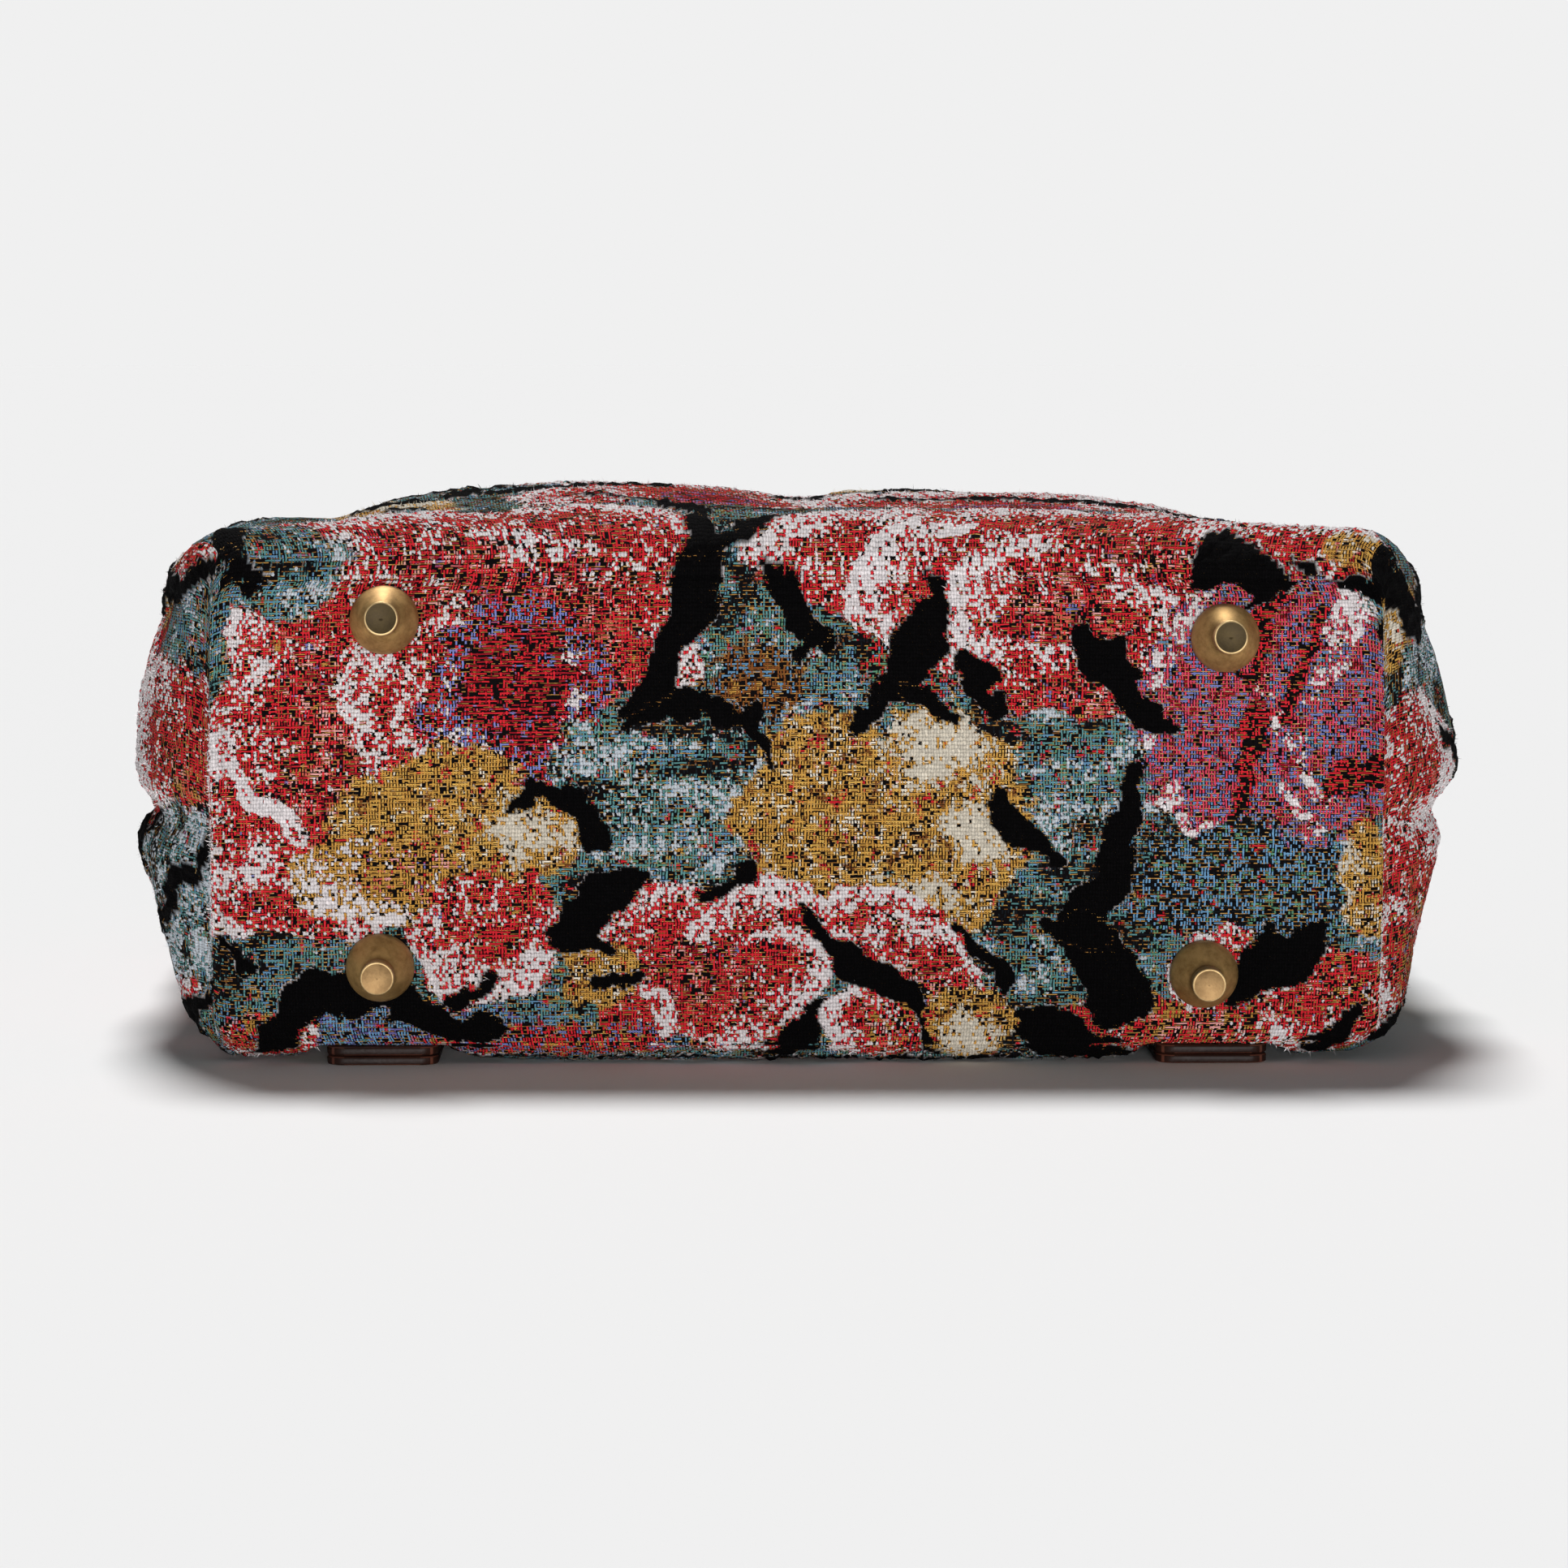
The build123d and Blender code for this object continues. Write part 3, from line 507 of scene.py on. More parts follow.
def bottom_motifs(p):
    """The bottom panel, and a little of what is round its front and back edges."""
    p.foliage(np.ones(len(p.u)), 1, 0.1)
    # Upper left: a broad rose with a second one beside it
    for petal in (
        (-92, 118, 30, 14, 8, 70, 0.9),
        (-50, 120, 30, 14, -6, 80, 0.65),
        (-106, 98, 20, 22, 20, 150, 0.6),
        (-60, 101, 34, 18, -8, 60, 0.15),
        (-40, 92, 20, 24, 10, 0, 0.2),
        (-108, 76, 22, 20, -30, 200, 0.45),
        (-84, 80, 18, 20, 0, 180, 0.35),
        (-64, 82, 26, 26, 10, 200, 0.1),
    ):
        p.petal(*petal)
    p.heart(-62, 85, 21, 21)
    p.streak(0.3, 0.5, 0.4, (-80, 90, 2), (-78, 76, 4), (-66, 66, 4))
    p.streak(0.25, 0.5, 0.4, (-52, 96, 3), (-46, 86, 4), (-52, 76, 4))
    p.petal(-120, 52, 18, 28, 20, 190, 0.7)
    p.petal(-104, 46, 18, 24, -20, 250, 0.55)
    p.streak(0.5, 0.25, 0.3, (-131, 74, 4), (-120, 60, 5), (-108, 52, 4), patch=0.4)
    p.petal(-118, 36, 20, 12, 0, 200, 0.85)
    p.foliage(p.ellipse(-116, 112, 14, 12), 2, 0.35)
    # Middle: leaves, and a patch of frosted foliage
    p.foliage(p.leaf(-6, 98, 46, 32, 70), 3, 0.25)
    p.foliage(p.ellipse(26, 88, 14, 13), 4, 0.1)
    p.lay(p.ellipse(24, 88, 10, 8), RED, GREEN, 0.45, 0.4, 0.3, ((BLUE, 0.3, 16),))
    p.lay(p.ellipse(-10, 86, 10, 8), BROWN, BLUE, 0.35, 0.35, 0.3, ((OCHRE, 0.2, 17),))
    p.foliage(p.ellipse(-31, 62, 25, 21), 5, 0.62)
    p.foliage(p.leaf(62, 66, 50, 36, -35), 6, 0.42)
    # Upper right: a pale rose that reddens downwards
    for petal in (
        (14, 116, 26, 14, 0, 110, 0.95),
        (48, 121, 34, 13, -4, 90, 0.85),
        (76, 116, 20, 16, 0, 60, 0.55),
        (36, 106, 24, 17, 0, 150, 0.75),
        (56, 98, 26, 20, -15, 170, 0.6),
        (66, 97, 20, 17, -10, 30, 0.12),
        (58, 86, 16, 9, -10, 100, 0.15),
    ):
        p.petal(*petal)
    # Right: a mauve bloom with pale streaks, and a blue one under it
    mauve = p.ellipse(106, 78, 30, 34, 8)
    p.lay(mauve, ROSE, MAUVE, 0.5, 0.12, 0.08, ((CRIMSON, 0.2, 18), (BLUE, 0.1, 28)), 0.3)
    for x0, y0, x1, y1, w in (
        (92, 110, 84, 92, 5),
        (82, 92, 80, 72, 5),
        (126, 104, 118, 86, 8),
        (116, 84, 110, 74, 5),
        (104, 84, 108, 76, 5),
        (108, 62, 116, 52, 4),
        (84, 60, 92, 52, 6),
        (112, 70, 118, 60, 3),
    ):
        p.streak(0.3, 0.35, 0.35, (x0, y0, w), (x1, y1, w * 0.8), patch=0.6)
    for x0, y0, x1, y1, w in (
        (108, 108, 100, 86, 4),
        (104, 78, 96, 56, 4),
        (118, 100, 108, 80, 3),
        (130, 66, 122, 64, 8),
    ):
        p.lay(p.stroke((x0, y0, w), (x1, y1, w)), RED, BLACK, 0.4, 0.6, 0.8, (), 0.7)
    p.lay(p.ellipse(98, 40, 26, 14), BLUE, DEEP, 0.4, 0.32, 0.2, ((GREEN, 0.3, 19), (RED, 0.1, 20)))
    # Ochre blooms
    p.fruit(-80, 54, 24, 17, (0.9, -0.2), 0.8)
    p.fruit(-62, 52, 13, 12, (0.1, 0.1))
    p.petal(-92, 42, 22, 10, 0, 250, 0.6, OCHRE, RED)
    p.petal(-70, 28, 17, 15, 0, 270, 0.95, RED, OCHRE)
    for bloom in (
        (4, 56, 18, 24, (3, 3), 0.1),
        (33, 60, 20, 20, (0.0, 0.6)),
        (40, 50, 13, 13, (0.1, 0.1), 1.2),
        (31, 35, 19, 11, (-0.3, 0.1), 0.6),
    ):
        p.fruit(*bloom)
    # Lower middle: a red and pink blossom and small ones by it
    for petal in (
        (-28, 26, 19, 16, 0, 130, 0.3),
        (-8, 30, 18, 12, 0, 90, 0.9),
        (-18, 16, 22, 12, 0, 300, 0.3),
        (-6, 20, 12, 10, 0, 20, 0.75),
        (-36, 10, 9, 8, 0, 0, 0.85),
    ):
        p.petal(*petal)
    p.fruit(-44, 20, 8, 8, (2, 2), 0.2)
    p.petal(20, 31, 15, 9, -20, 90, 0.75)
    p.petal(30, 22, 15, 9, -30, 60, 0.75)
    p.lay(p.ellipse(-86, 7, 28, 8), BLUE, VIOLET, 0.45, 0.25, 0.15, ((TEAL, 0.25, 21), (RED, 0.12, 22)))
    p.lay(p.ellipse(-58, 5, 30, 4), RED, MAUVE, 0.4, 0.25, 0.2, ((OCHRE, 0.2, 23),))
    p.foliage(p.ellipse(52, 24, 14, 17), 7, 0.45)
    p.foliage(p.ellipse(-118, 22, 18, 9), 8, 0.1)
    p.fruit(126, 43, 6, 12, (-1.2, -0.2), 0.8)
    for petal in (
        (116, 14, 18, 14, 0, 200, 0.85, RED, OCHRE),
        (94, 17, 12, 13, 0, 180, 0.9, RED, OCHRE),
        (82, 5, 26, 9, 0, 270, 0.4, RED, OCHRE),
        (-122, 5, 14, 6, 0, 270, 0.4, RED, OCHRE),
        (112, 118, 26, 9, -6, 90, 0.9),
    ):
        p.petal(*petal)
    p.fruit(130, 116, 9, 6, (0, 1), 0.6)
    p.stem((-140, 92, 6), (-134, 106, 8), (-124, 120, 8))
    p.stem((-128, 112, 9), (-122, 108, 7))
    # Black stems and gaps between the leaves, and a painted contact shadow along the back edge
    for places in (
        ((-22, 124, 7), (-21, 110, 13), (-26, 96, 9), (-33, 80, 10)),
        ((-22, 114, 8), (-8, 121, 6), (4, 128, 4)),
        ((-38, 77, 4), (-28, 81, 7), (-12, 79, 8), (-6, 68, 4)),
        ((-6, 110, 6), (4, 98, 9), (8, 92, 7)),
        ((-2, 88, 3), (6, 96, 6)),
        ((32, 108, 5), (28, 96, 10), (22, 86, 11), (12, 76, 8)),
        ((24, 84, 8), (36, 78, 5)),
        ((34, 92, 4), (40, 86, 7), (46, 81, 4)),
        ((64, 98, 7), (68, 92, 13), (76, 82, 9), (84, 76, 5)),
        ((88, 108, 6), (98, 114, 14), (106, 108, 9), (100, 100, 4)),
        ((112, 112, 5), (118, 109, 5)),
        ((122, 107, 5), (134, 106, 9), (134, 92, 8)),
        ((-62, 56, 4), (-58, 64, 6), (-50, 58, 9), (-46, 50, 9)),
        ((-36, 42, 6), (-46, 36, 12), (-52, 28, 12), (-42, 26, 5)),
        ((-130, 28, 5), (-122, 22, 5)),
        ((-118, 6, 10), (-110, 14, 13), (-96, 18, 12), (-82, 12, 8), (-68, 8, 9)),
        ((-78, 16, 5), (-70, 18, 6)),
        ((2, 32, 6), (10, 22, 11), (22, 14, 12), (30, 6, 9)),
        ((34, 30, 4), (46, 18, 7)),
        ((46, 60, 6), (50, 54, 9), (58, 46, 6)),
        ((76, 66, 7), (74, 56, 10), (70, 46, 12), (64, 30, 13), (72, 14, 15)),
        ((56, 32, 5), (66, 28, 10)),
        ((50, 8, 10), (62, 5, 10), (76, 2, 6)),
        ((98, 16, 8), (108, 24, 15), (116, 32, 7)),
        ((-22, 40, 5), (-12, 42, 6)),
        ((-46, 16, 5), (-36, 20, 5)),
        ((-4, 4, 8), (4, 10, 9)),
        ((116, 3, 6), (124, 8, 8)),
        # A painted contact shadow: a straight black line where the bag's back edge lies on the floor.
        ((-100, 1, 4), (-40, -1, 4), (20, -1, 5), (100, 0, 4)),
    ):
        p.stem(*places)
    p.fruit(39, 9, 10, 8, (0.0, -0.4), 1.3)
    p.petal(16, 8, 12, 7, -10, 200, 0.8, RED, OCHRE)


def scattered(u, v, seed):
    """A panel of cloth with its own flowers, leaves and stems spread over it."""
    p = Paint(u, v, seed)
    rng = np.random.default_rng(seed)
    p.foliage(np.ones(len(u)), 1, 0.15)
    width, height = u.max() - u.min(), v.max() - v.min()
    columns, rows = max(1, round(width / 60)), max(1, round(height / 56))
    for i in range(columns):
        for j in range(rows):
            cx = u.min() + width * (i + 0.5 + rng.uniform(-0.25, 0.25)) / columns
            cy = v.min() + height * (j + 0.5 + rng.uniform(-0.25, 0.25)) / rows
            kind = rng.uniform()
            if kind < 0.5:
                size = rng.uniform(28, 42)
                tall = size * rng.uniform(0.7, 0.9)
                turn, light = rng.uniform(0, 180), rng.uniform(0.3, 0.8)
                p.rose(cx, cy, size, tall, turn, light, int(rng.integers(1000)))
            elif kind < 0.75:
                p.fruit(cx, cy, rng.uniform(16, 24), rng.uniform(14, 20), (rng.uniform(-0.5, 0.5), 0.4))
            else:
                length, broad, turn = rng.uniform(40, 60), rng.uniform(24, 36), rng.uniform(0, 180)
                p.foliage(p.leaf(cx, cy, length, broad, turn), 3, 0.4)
            for _ in range(2):
                x0, y0 = cx + rng.uniform(-36, 36), cy + rng.uniform(-32, 32)
                x1, y1 = x0 + rng.uniform(-16, 16), y0 + rng.uniform(8, 16)
                x2, y2 = x1 + rng.uniform(-14, 14), y1 + rng.uniform(6, 16)
                p.stem((x0, y0, rng.uniform(5, 9)), (x1, y1, rng.uniform(8, 13)), (x2, y2, 5))
            if rng.uniform() < 0.5:
                p.fruit(cx + rng.uniform(-30, 30), cy + rng.uniform(-26, 26), 10, 9, (0, 0.2))
    return p


def paint_panel(u, v):
    """The bottom panel, with u across and v up in millimetres."""
    paint = Paint(u, v, 11)
    bottom_motifs(paint)
    return paint


def paint_front(u, v):
    """The front: the bottom's motifs run on round the edge into others."""
    paint = scattered(u, v, 21)
    close = v < 136
    paint.take(close, paint_panel(u[close], v[close]))
    for places in (
        ((-46, 146, 4), (-34, 136, 6), (-22, 128, 9)),
        ((-92, 152, 8), (-60, 160, 9), (-30, 158, 8)),
        ((20, 150, 7), (44, 156, 8), (76, 148, 9), (100, 136, 6)),
    ):
        paint.stem(*places)
    return paint


def paint_back(u, v):
    """The back, met by the bottom's motifs at its lower edge."""
    paint = scattered(u, v, 24)
    close = v > -6
    paint.take(close, paint_panel(u[close], v[close]))
    return paint


def paint_right(u, v):
    """The right side, with u from back to front and v up the bag."""
    paint = scattered(u, v, 22)
    paint.foliage(paint.ellipse(84, 20, 20, 26), 8, 0.6)
    paint.fruit(98, 10, 10, 10, (0, 0), 0.4)
    for petal in (
        (66, 22, 16, 26, 0, 90, 0.9),
        (38, 24, 18, 30, 0, 60, 0.75),
        (24, 20, 12, 24, 0, 270, 0.4, RED, OCHRE),
    ):
        paint.petal(*petal)
    for places in (
        ((112, 0, 16), (98, 24, 13), (104, 60, 12)),
        ((74, 36, 6), (60, 60, 9)),
        ((4, 0, 10), (10, 20, 9), (12, 50, 8)),
    ):
        paint.stem(*places)
    return paint


def paint_left(u, v):
    """The left side, as the right one."""
    paint = scattered(u, v, 23)
    paint.foliage(paint.ellipse(92, 14, 18, 22), 8, 0.3)
    paint.petal(72, 26, 18, 32, 0, 90, 0.95)
    paint.petal(62, 10, 12, 14, 0, 270, 0.4, RED, OCHRE)
    paint.foliage(paint.ellipse(36, 20, 20, 30), 9, 0.85)
    for places in (
        ((54, 2, 4), (50, 10, 7), (34, 24, 7), (24, 44, 9)),
        ((18, 0, 6), (8, 16, 9), (6, 50, 10)),
        ((114, 0, 8), (104, 24, 9), (108, 50, 9)),
        ((50, 44, 6), (48, 70, 9)),
    ):
        paint.stem(*places)
    return paint


def as_light(colour):
    """Linear light from 0-255 values as a screen shows them."""
    c = np.asarray(colour, float) / 255
    return np.where(c <= 0.04045, c / 12.92, ((c + 0.055) / 1.055) ** 2.4)


def srgb(*rgb):
    """A linear colour from 0-255 values as a screen shows them."""
    return (*as_light(rgb).tolist(), 1.0)


class Value:
    """A number in a material's nodes. Sums, products and comparisons with it add nodes."""

    def __init__(self, nodes, socket):
        self.nodes = nodes
        self.socket = socket

    def __add__(self, other):
        return self.nodes.math("ADD", self, other)

    def __sub__(self, other):
        return self.nodes.math("SUBTRACT", self, other)

    def __rsub__(self, other):
        return self.nodes.math("SUBTRACT", other, self)

    def __mul__(self, other):
        return self.nodes.math("MULTIPLY", self, other)

    def __lt__(self, other):
        return self.nodes.math("LESS_THAN", self, other)

    def __gt__(self, other):
        return self.nodes.math("GREATER_THAN", self, other)

    def floor(self):
        return self.nodes.math("FLOOR", self)

    def off_middle(self):
        """How far it is from the middle between two whole numbers."""
        return self.nodes.math("ABSOLUTE", self.nodes.math("FRACT", self) - 0.5)


class Nodes:
    """Short ways to build a material's nodes."""

    def __init__(self, name):
        self.material = bpy.data.materials.new(name)
        self.material.use_nodes = True
        self.tree = self.material.node_tree
        self.tree.nodes.clear()
        self.out = self.tree.nodes.new("ShaderNodeOutputMaterial")

    def set(self, socket, value):
        """Gives a socket a plain value, or wires it to the one that the value comes from."""
        if isinstance(value, Value):
            value = value.socket
        if isinstance(value, bpy.types.NodeSocket):
            self.tree.links.new(value, socket)
        else:
            socket.default_value = value

    def add(self, kind, inputs=(), **settings):
        """A node with settings, and values for its inputs by name or number."""
        node = self.tree.nodes.new(kind)
        for key, value in settings.items():
            setattr(node, key, value)
        for key, value in dict(inputs).items():
            self.set(node.inputs[key], value)
        return node

    def math(self, operation, *values):
        node = self.add("ShaderNodeMath", enumerate(values), operation=operation)
        return Value(self, node.outputs[0])

    def vector(self, operation, *values):
        return self.add("ShaderNodeVectorMath", enumerate(values), operation=operation).outputs

    def mix(self, factor, a, b, blend="MIX"):
        places = {0: factor, 6: a, 7: b}
        return self.add("ShaderNodeMix", places, data_type="RGBA", blend_type=blend).outputs[2]

    def ramp(self, factor, *stops):
        node = self.add("ShaderNodeValToRGB", {0: factor})
        while len(node.color_ramp.elements) < len(stops):
            node.color_ramp.elements.new(0.5)
        for element, (place, colour) in zip(node.color_ramp.elements, stops):
            element.position = place
            element.color = colour
        return node.outputs[0]

    def noise(self, scale, detail, rough, vector):
        places = {"Scale": scale, "Detail": detail, "Roughness": rough, "Vector": vector}
        return Value(self, self.add("ShaderNodeTexNoise", places).outputs["Fac"])

    def place(self):
        return self.add("ShaderNodeTexCoord").outputs["Object"]

    def attribute(self, name):
        return self.add("ShaderNodeAttribute", attribute_name=name).outputs

    def bump(self, height, strength, distance):
        places = {"Height": height, "Strength": strength, "Distance": distance}
        return self.add("ShaderNodeBump", places).outputs[0]

    def surface(self, **values):
        places = {key.replace("_", " "): value for key, value in values.items()}
        self.set(self.out.inputs[0], self.add("ShaderNodeBsdfPrincipled", places).outputs[0])
        return self.material


WARPS_PER_CELL = 1.9
ROWS_PER_CELL = 1.3


def cloth_material():
    """Woven threads where the cloth is flat, and rows of tufts where it has pile. The UV map
    counts weave cells."""
    n = Nodes("tapestry_cloth")
    uv = n.add("ShaderNodeUVMap", uv_map="cloth").outputs[0]
    u, v = (Value(n, socket) for socket in n.add("ShaderNodeSeparateXYZ", {0: uv}).outputs[:2])
    tuft, one, two = (n.attribute(name) for name in ("pile_colour", "thread_one", "thread_two"))
    pile, share, dark = (Value(n, held["Alpha"]) for held in (tuft, one, two))
    weft = n.attribute("weft")["Fac"]

    def lottery(a, b):
        """Three random numbers for each pair of whole ones."""
        pair = n.add("ShaderNodeCombineXYZ", {0: a, 1: b}).outputs[0]
        draw = n.add("ShaderNodeTexWhiteNoise", {"Vector": pair}, noise_dimensions="2D")
        split = n.add("ShaderNodeSeparateColor", {0: draw.outputs["Color"]})
        return [Value(n, socket) for socket in (draw.outputs["Value"], *split.outputs[:2])]

    def own_offset(value, size):
        """A shift of its own for each whole number."""
        node = n.add("ShaderNodeTexWhiteNoise", {"W": value}, noise_dimensions="1D")
        return Value(n, node.outputs["Value"]) * size

    def scaled(colour, factor):
        return n.add("ShaderNodeVectorMath", {0: colour, "Scale": factor}, operation="SCALE").outputs[0]

    def either(chosen):
        return n.mix(chosen, one["Color"], two["Color"])

    sway = (n.noise(0.45, 2.0, 0.5, uv) - 0.5) * 1.1
    fuzz = n.noise(1.7, 3.0, 0.8, uv)
    threads = u * WARPS_PER_CELL + sway
    rows = v * ROWS_PER_CELL + sway * 0.35
    warp, row = threads.floor(), rows.floor()
    across, beside = threads.off_middle(), rows.off_middle()
    # Weft threads: dashes across a few warps, on the dark ground, and fine gilt ones in the gaps
    show, which, shine = lottery(((threads + own_offset(row, 9.0)) * 0.38).floor(), row)
    weft_seen = (show < weft) * (beside < 0.2)
    weft_colour = scaled(either(which < share * 0.6), shine * 0.3 + 0.85)
    colour = n.mix(weft_seen, srgb(12, 9, 10), weft_colour)
    gilt, gilt_tone, _ = lottery((threads * 0.8).floor(), (rows + 0.5).floor())
    gilt_seen = (beside > 0.4) * (gilt < 0.85 - dark * 0.75)
    gilt_stops = (0.0, srgb(112, 66, 30)), (0.5, srgb(190, 142, 70)), (1.0, srgb(236, 208, 160))
    colour = n.mix(gilt_seen, colour, n.ramp(gilt_tone, *gilt_stops))
    # Warp threads: upright floats over one row, some of them longer than others
    climb = rows + own_offset(warp, 0.22)
    chance, tone, sink = lottery(warp, climb.floor())
    reach = (tone > 0.72) * 0.2 + 0.39
    warp_seen = (across < 0.31) * (climb.off_middle() < reach) * (sink > dark)
    colour = n.mix(warp_seen, colour, scaled(either(chance < share), tone * 0.42 + 0.82))
    # Pile: fluffy tufts on the weft rows, where the lottery of each tuft says so
    ragged_u, ragged_v = threads + (fuzz - 0.5) * 2.2, rows + (fuzz - 0.5) * -1.1
    grown, tuft_tone, _ = lottery(ragged_u.floor(), ragged_v.floor())
    du, dv = ragged_u.off_middle(), ragged_v.off_middle()
    dome = 1.0 - (du * du + dv * dv) * 2.2
    tuft_seen = (grown < pile) * (dome > 0.5 - pile * 0.55)
    # Each tuft's colour is painted lighter on its domed middle and darker at its edges, a painted shade
    # between the rows, on top of its own random tone.
    bright = (tuft_tone * 0.3 + 0.74) * (dome * 0.48 + 0.55) * (fuzz * 0.5 + 0.78)
    colour = n.mix(tuft_seen, colour, scaled(tuft["Color"], bright))
    # Relief
    thread_height = (1.0 - across * across * 6.0) * warp_seen
    weft_height = (1.0 - beside * beside * 8.0) * weft_seen * 0.7
    relief = n.math("MAXIMUM", thread_height, weft_height)
    relief = n.math("MAXIMUM", relief, tuft_seen * (dome * 1.1 + fuzz))
    normal = n.bump(relief + n.noise(7.0, 4.0, 0.7, uv) * 0.35, 0.8, 0.0004)
    return n.surface(Base_Color=colour, Roughness=0.85, Normal=normal, Specular_IOR_Level=0.04)


def brass_material(name, deep, bright, rough, streaks):
    n = Nodes(name)
    cloud = n.noise(240.0, 5.0, 0.65, n.place())
    fine = n.noise(1500.0, 3.0, 0.6, n.place())
    colour = n.ramp(cloud, (0.34, deep), (0.66, bright))
    normal = n.bump(fine, streaks, 0.00004)
    return n.surface(Base_Color=colour, Metallic=1.0, Roughness=cloud * 0.22 + rough, Normal=normal)


def leather_material(name, dark, light, shine):
    n = Nodes(name)
    grain_places = {"Scale": 1400.0, "Vector": n.place()}
    grain = n.add("ShaderNodeTexVoronoi", grain_places, feature="SMOOTH_F1")
    cloud = n.noise(60.0, 4.0, 0.6, n.place())
    wrinkle = n.noise(420.0, 4.0, 0.6, n.place())
    return n.surface(
        Base_Color=n.ramp(cloud, (0.3, dark), (0.7, light)),
        Roughness=wrinkle * 0.25 + 0.4,
        Normal=n.bump(wrinkle * 0.8 + grain.outputs["Distance"], 0.45, 0.00012),
        Specular_IOR_Level=0.5 * shine,
        Coat_Weight=0.12 * shine,
        Coat_Roughness=0.3,
    )


def woven_material(name, colour_a, colour_b, scale):
    n = Nodes(name)
    places = {"Scale": scale, "Vector": n.place()}
    bands = [
        Value(n, n.add("ShaderNodeTexWave", places, wave_type="BANDS", bands_direction=way).outputs["Fac"])
        for way in ("X", "Y")
    ]
    weave = bands[0] * bands[1]
    colour = n.mix(weave, colour_a, colour_b)
    return n.surface(Base_Color=colour, Roughness=0.85, Normal=n.bump(weave, 0.5, 0.0002), Sheen_Weight=0.1)


# The height that the feet lean away from in millimetres, and in metres the length of a foot,
# the radius of its tip and where the end face of the tip starts
FEET_MIDDLE = (4.2 + 117.5) / 2
FOOT_LENGTH = 0.014
TIP_RADIUS = 0.004
TIP_END = 0.0126


def foot_material(name, x, z, dish):
    """Aged brass, rubbed bright on the tip's rim, with painted shade: darker at the base's lip and in the
    groove.
    The foot stands at (x, z) on the curved bottom, and leans out from its middle."""
    n = Nodes(name)
    lean = math.asin((z - FEET_MIDDLE) / BOTTOM_BOW)
    foot_root = Vector((x, BOTTOM_Y + BOTTOM_BOW * (1 - math.cos(lean)), z)) * MM
    outward = Vector((0, -math.cos(lean), math.sin(lean)))
    arm = n.vector("SUBTRACT", n.place(), foot_root)[0]
    rise = Value(n, n.vector("DOT_PRODUCT", arm, outward)[1])
    span = Value(n, n.vector("LENGTH", n.vector("CROSS_PRODUCT", arm, outward)[0])[1])
    # The dark stops at the base's lip and in the groove are painted shade.
    bell = n.ramp(
        rise * (1 / FOOT_LENGTH),
        (0.0, srgb(96, 74, 42)),
        (0.10, srgb(176, 142, 90)),
        (0.50, srgb(186, 152, 98)),
        (0.62, srgb(150, 120, 74)),
        (0.645, srgb(34, 25, 14)),
        (0.69, srgb(60, 46, 26)),
        (0.72, srgb(170, 138, 88)),
        (1.0, srgb(176, 144, 92)),
    )
    tip = n.ramp(span * (1 / TIP_RADIUS), (0.0, dish), (0.83, dish), (0.88, srgb(226, 198, 148)))
    cloud = n.noise(260.0, 6.0, 0.75, n.place())
    spots = n.ramp(cloud, (0.38, srgb(188, 178, 160)), (0.6, srgb(255, 252, 244)))
    fine = n.noise(2600.0, 3.0, 0.6, n.place())
    return n.surface(
        Base_Color=n.mix(0.8, n.mix(rise > TIP_END, bell, tip), spots, "MULTIPLY"),
        Metallic=0.74,
        Roughness=cloud * 0.22 + 0.44,
        Normal=n.bump(fine, 0.45, 0.00005),
    )


def fibre_material():
    """Loose fibres in the colour of the pile they stand in."""
    n = Nodes("pile_fibre")
    colour = n.attribute("fibre")["Color"]
    return n.surface(Base_Color=colour, Roughness=0.9, Specular_IOR_Level=0.1)


CLOTH = cloth_material()
# The dishes of the two upper feet are the darker ones: painted shade on the upper dishes and painted light
# on the lower ones, of the same brass.
SHADED_DISH, LIT_DISH = srgb(66, 54, 30), srgb(158, 128, 88)
FOOT_BRASS = [
    foot_material(f"{foot}_brass", fx, fz, SHADED_DISH if fz > FEET_MIDDLE else LIT_DISH)
    for foot, (fx, fz) in zip(FEET, foot_centres)
]
RING_BRASS = brass_material("ring_brass", srgb(112, 84, 42), srgb(165, 128, 70), 0.3, 0.25)
ZIP_BRASS = brass_material("zip_brass", srgb(120, 92, 50), srgb(185, 148, 90), 0.28, 0.15)
SCREW_BRASS = brass_material("screw_brass", srgb(175, 140, 80), srgb(215, 185, 120), 0.25, 0.1)
LEATHER = leather_material("brown_leather", srgb(58, 28, 19), srgb(88, 46, 31), 0.8)
EDGE_PAINT = leather_material("leather_edge", srgb(26, 13, 9), srgb(38, 19, 13), 0.25)
TAPE = woven_material("zip_tape", srgb(14, 11, 11), srgb(52, 42, 40), 420.0)
COTTON = woven_material("lining_cotton", srgb(92, 74, 60), srgb(128, 106, 88), 700.0)
BOARD = woven_material("base_board", srgb(20, 20, 20), srgb(30, 30, 30), 200.0)
DARK_THREAD = woven_material("dark_thread", srgb(40, 32, 30), srgb(62, 50, 46), 2000.0)
FIBRE = fibre_material()
THREAD = woven_material("stitch_thread", srgb(222, 208, 186), srgb(238, 228, 210), 2000.0)


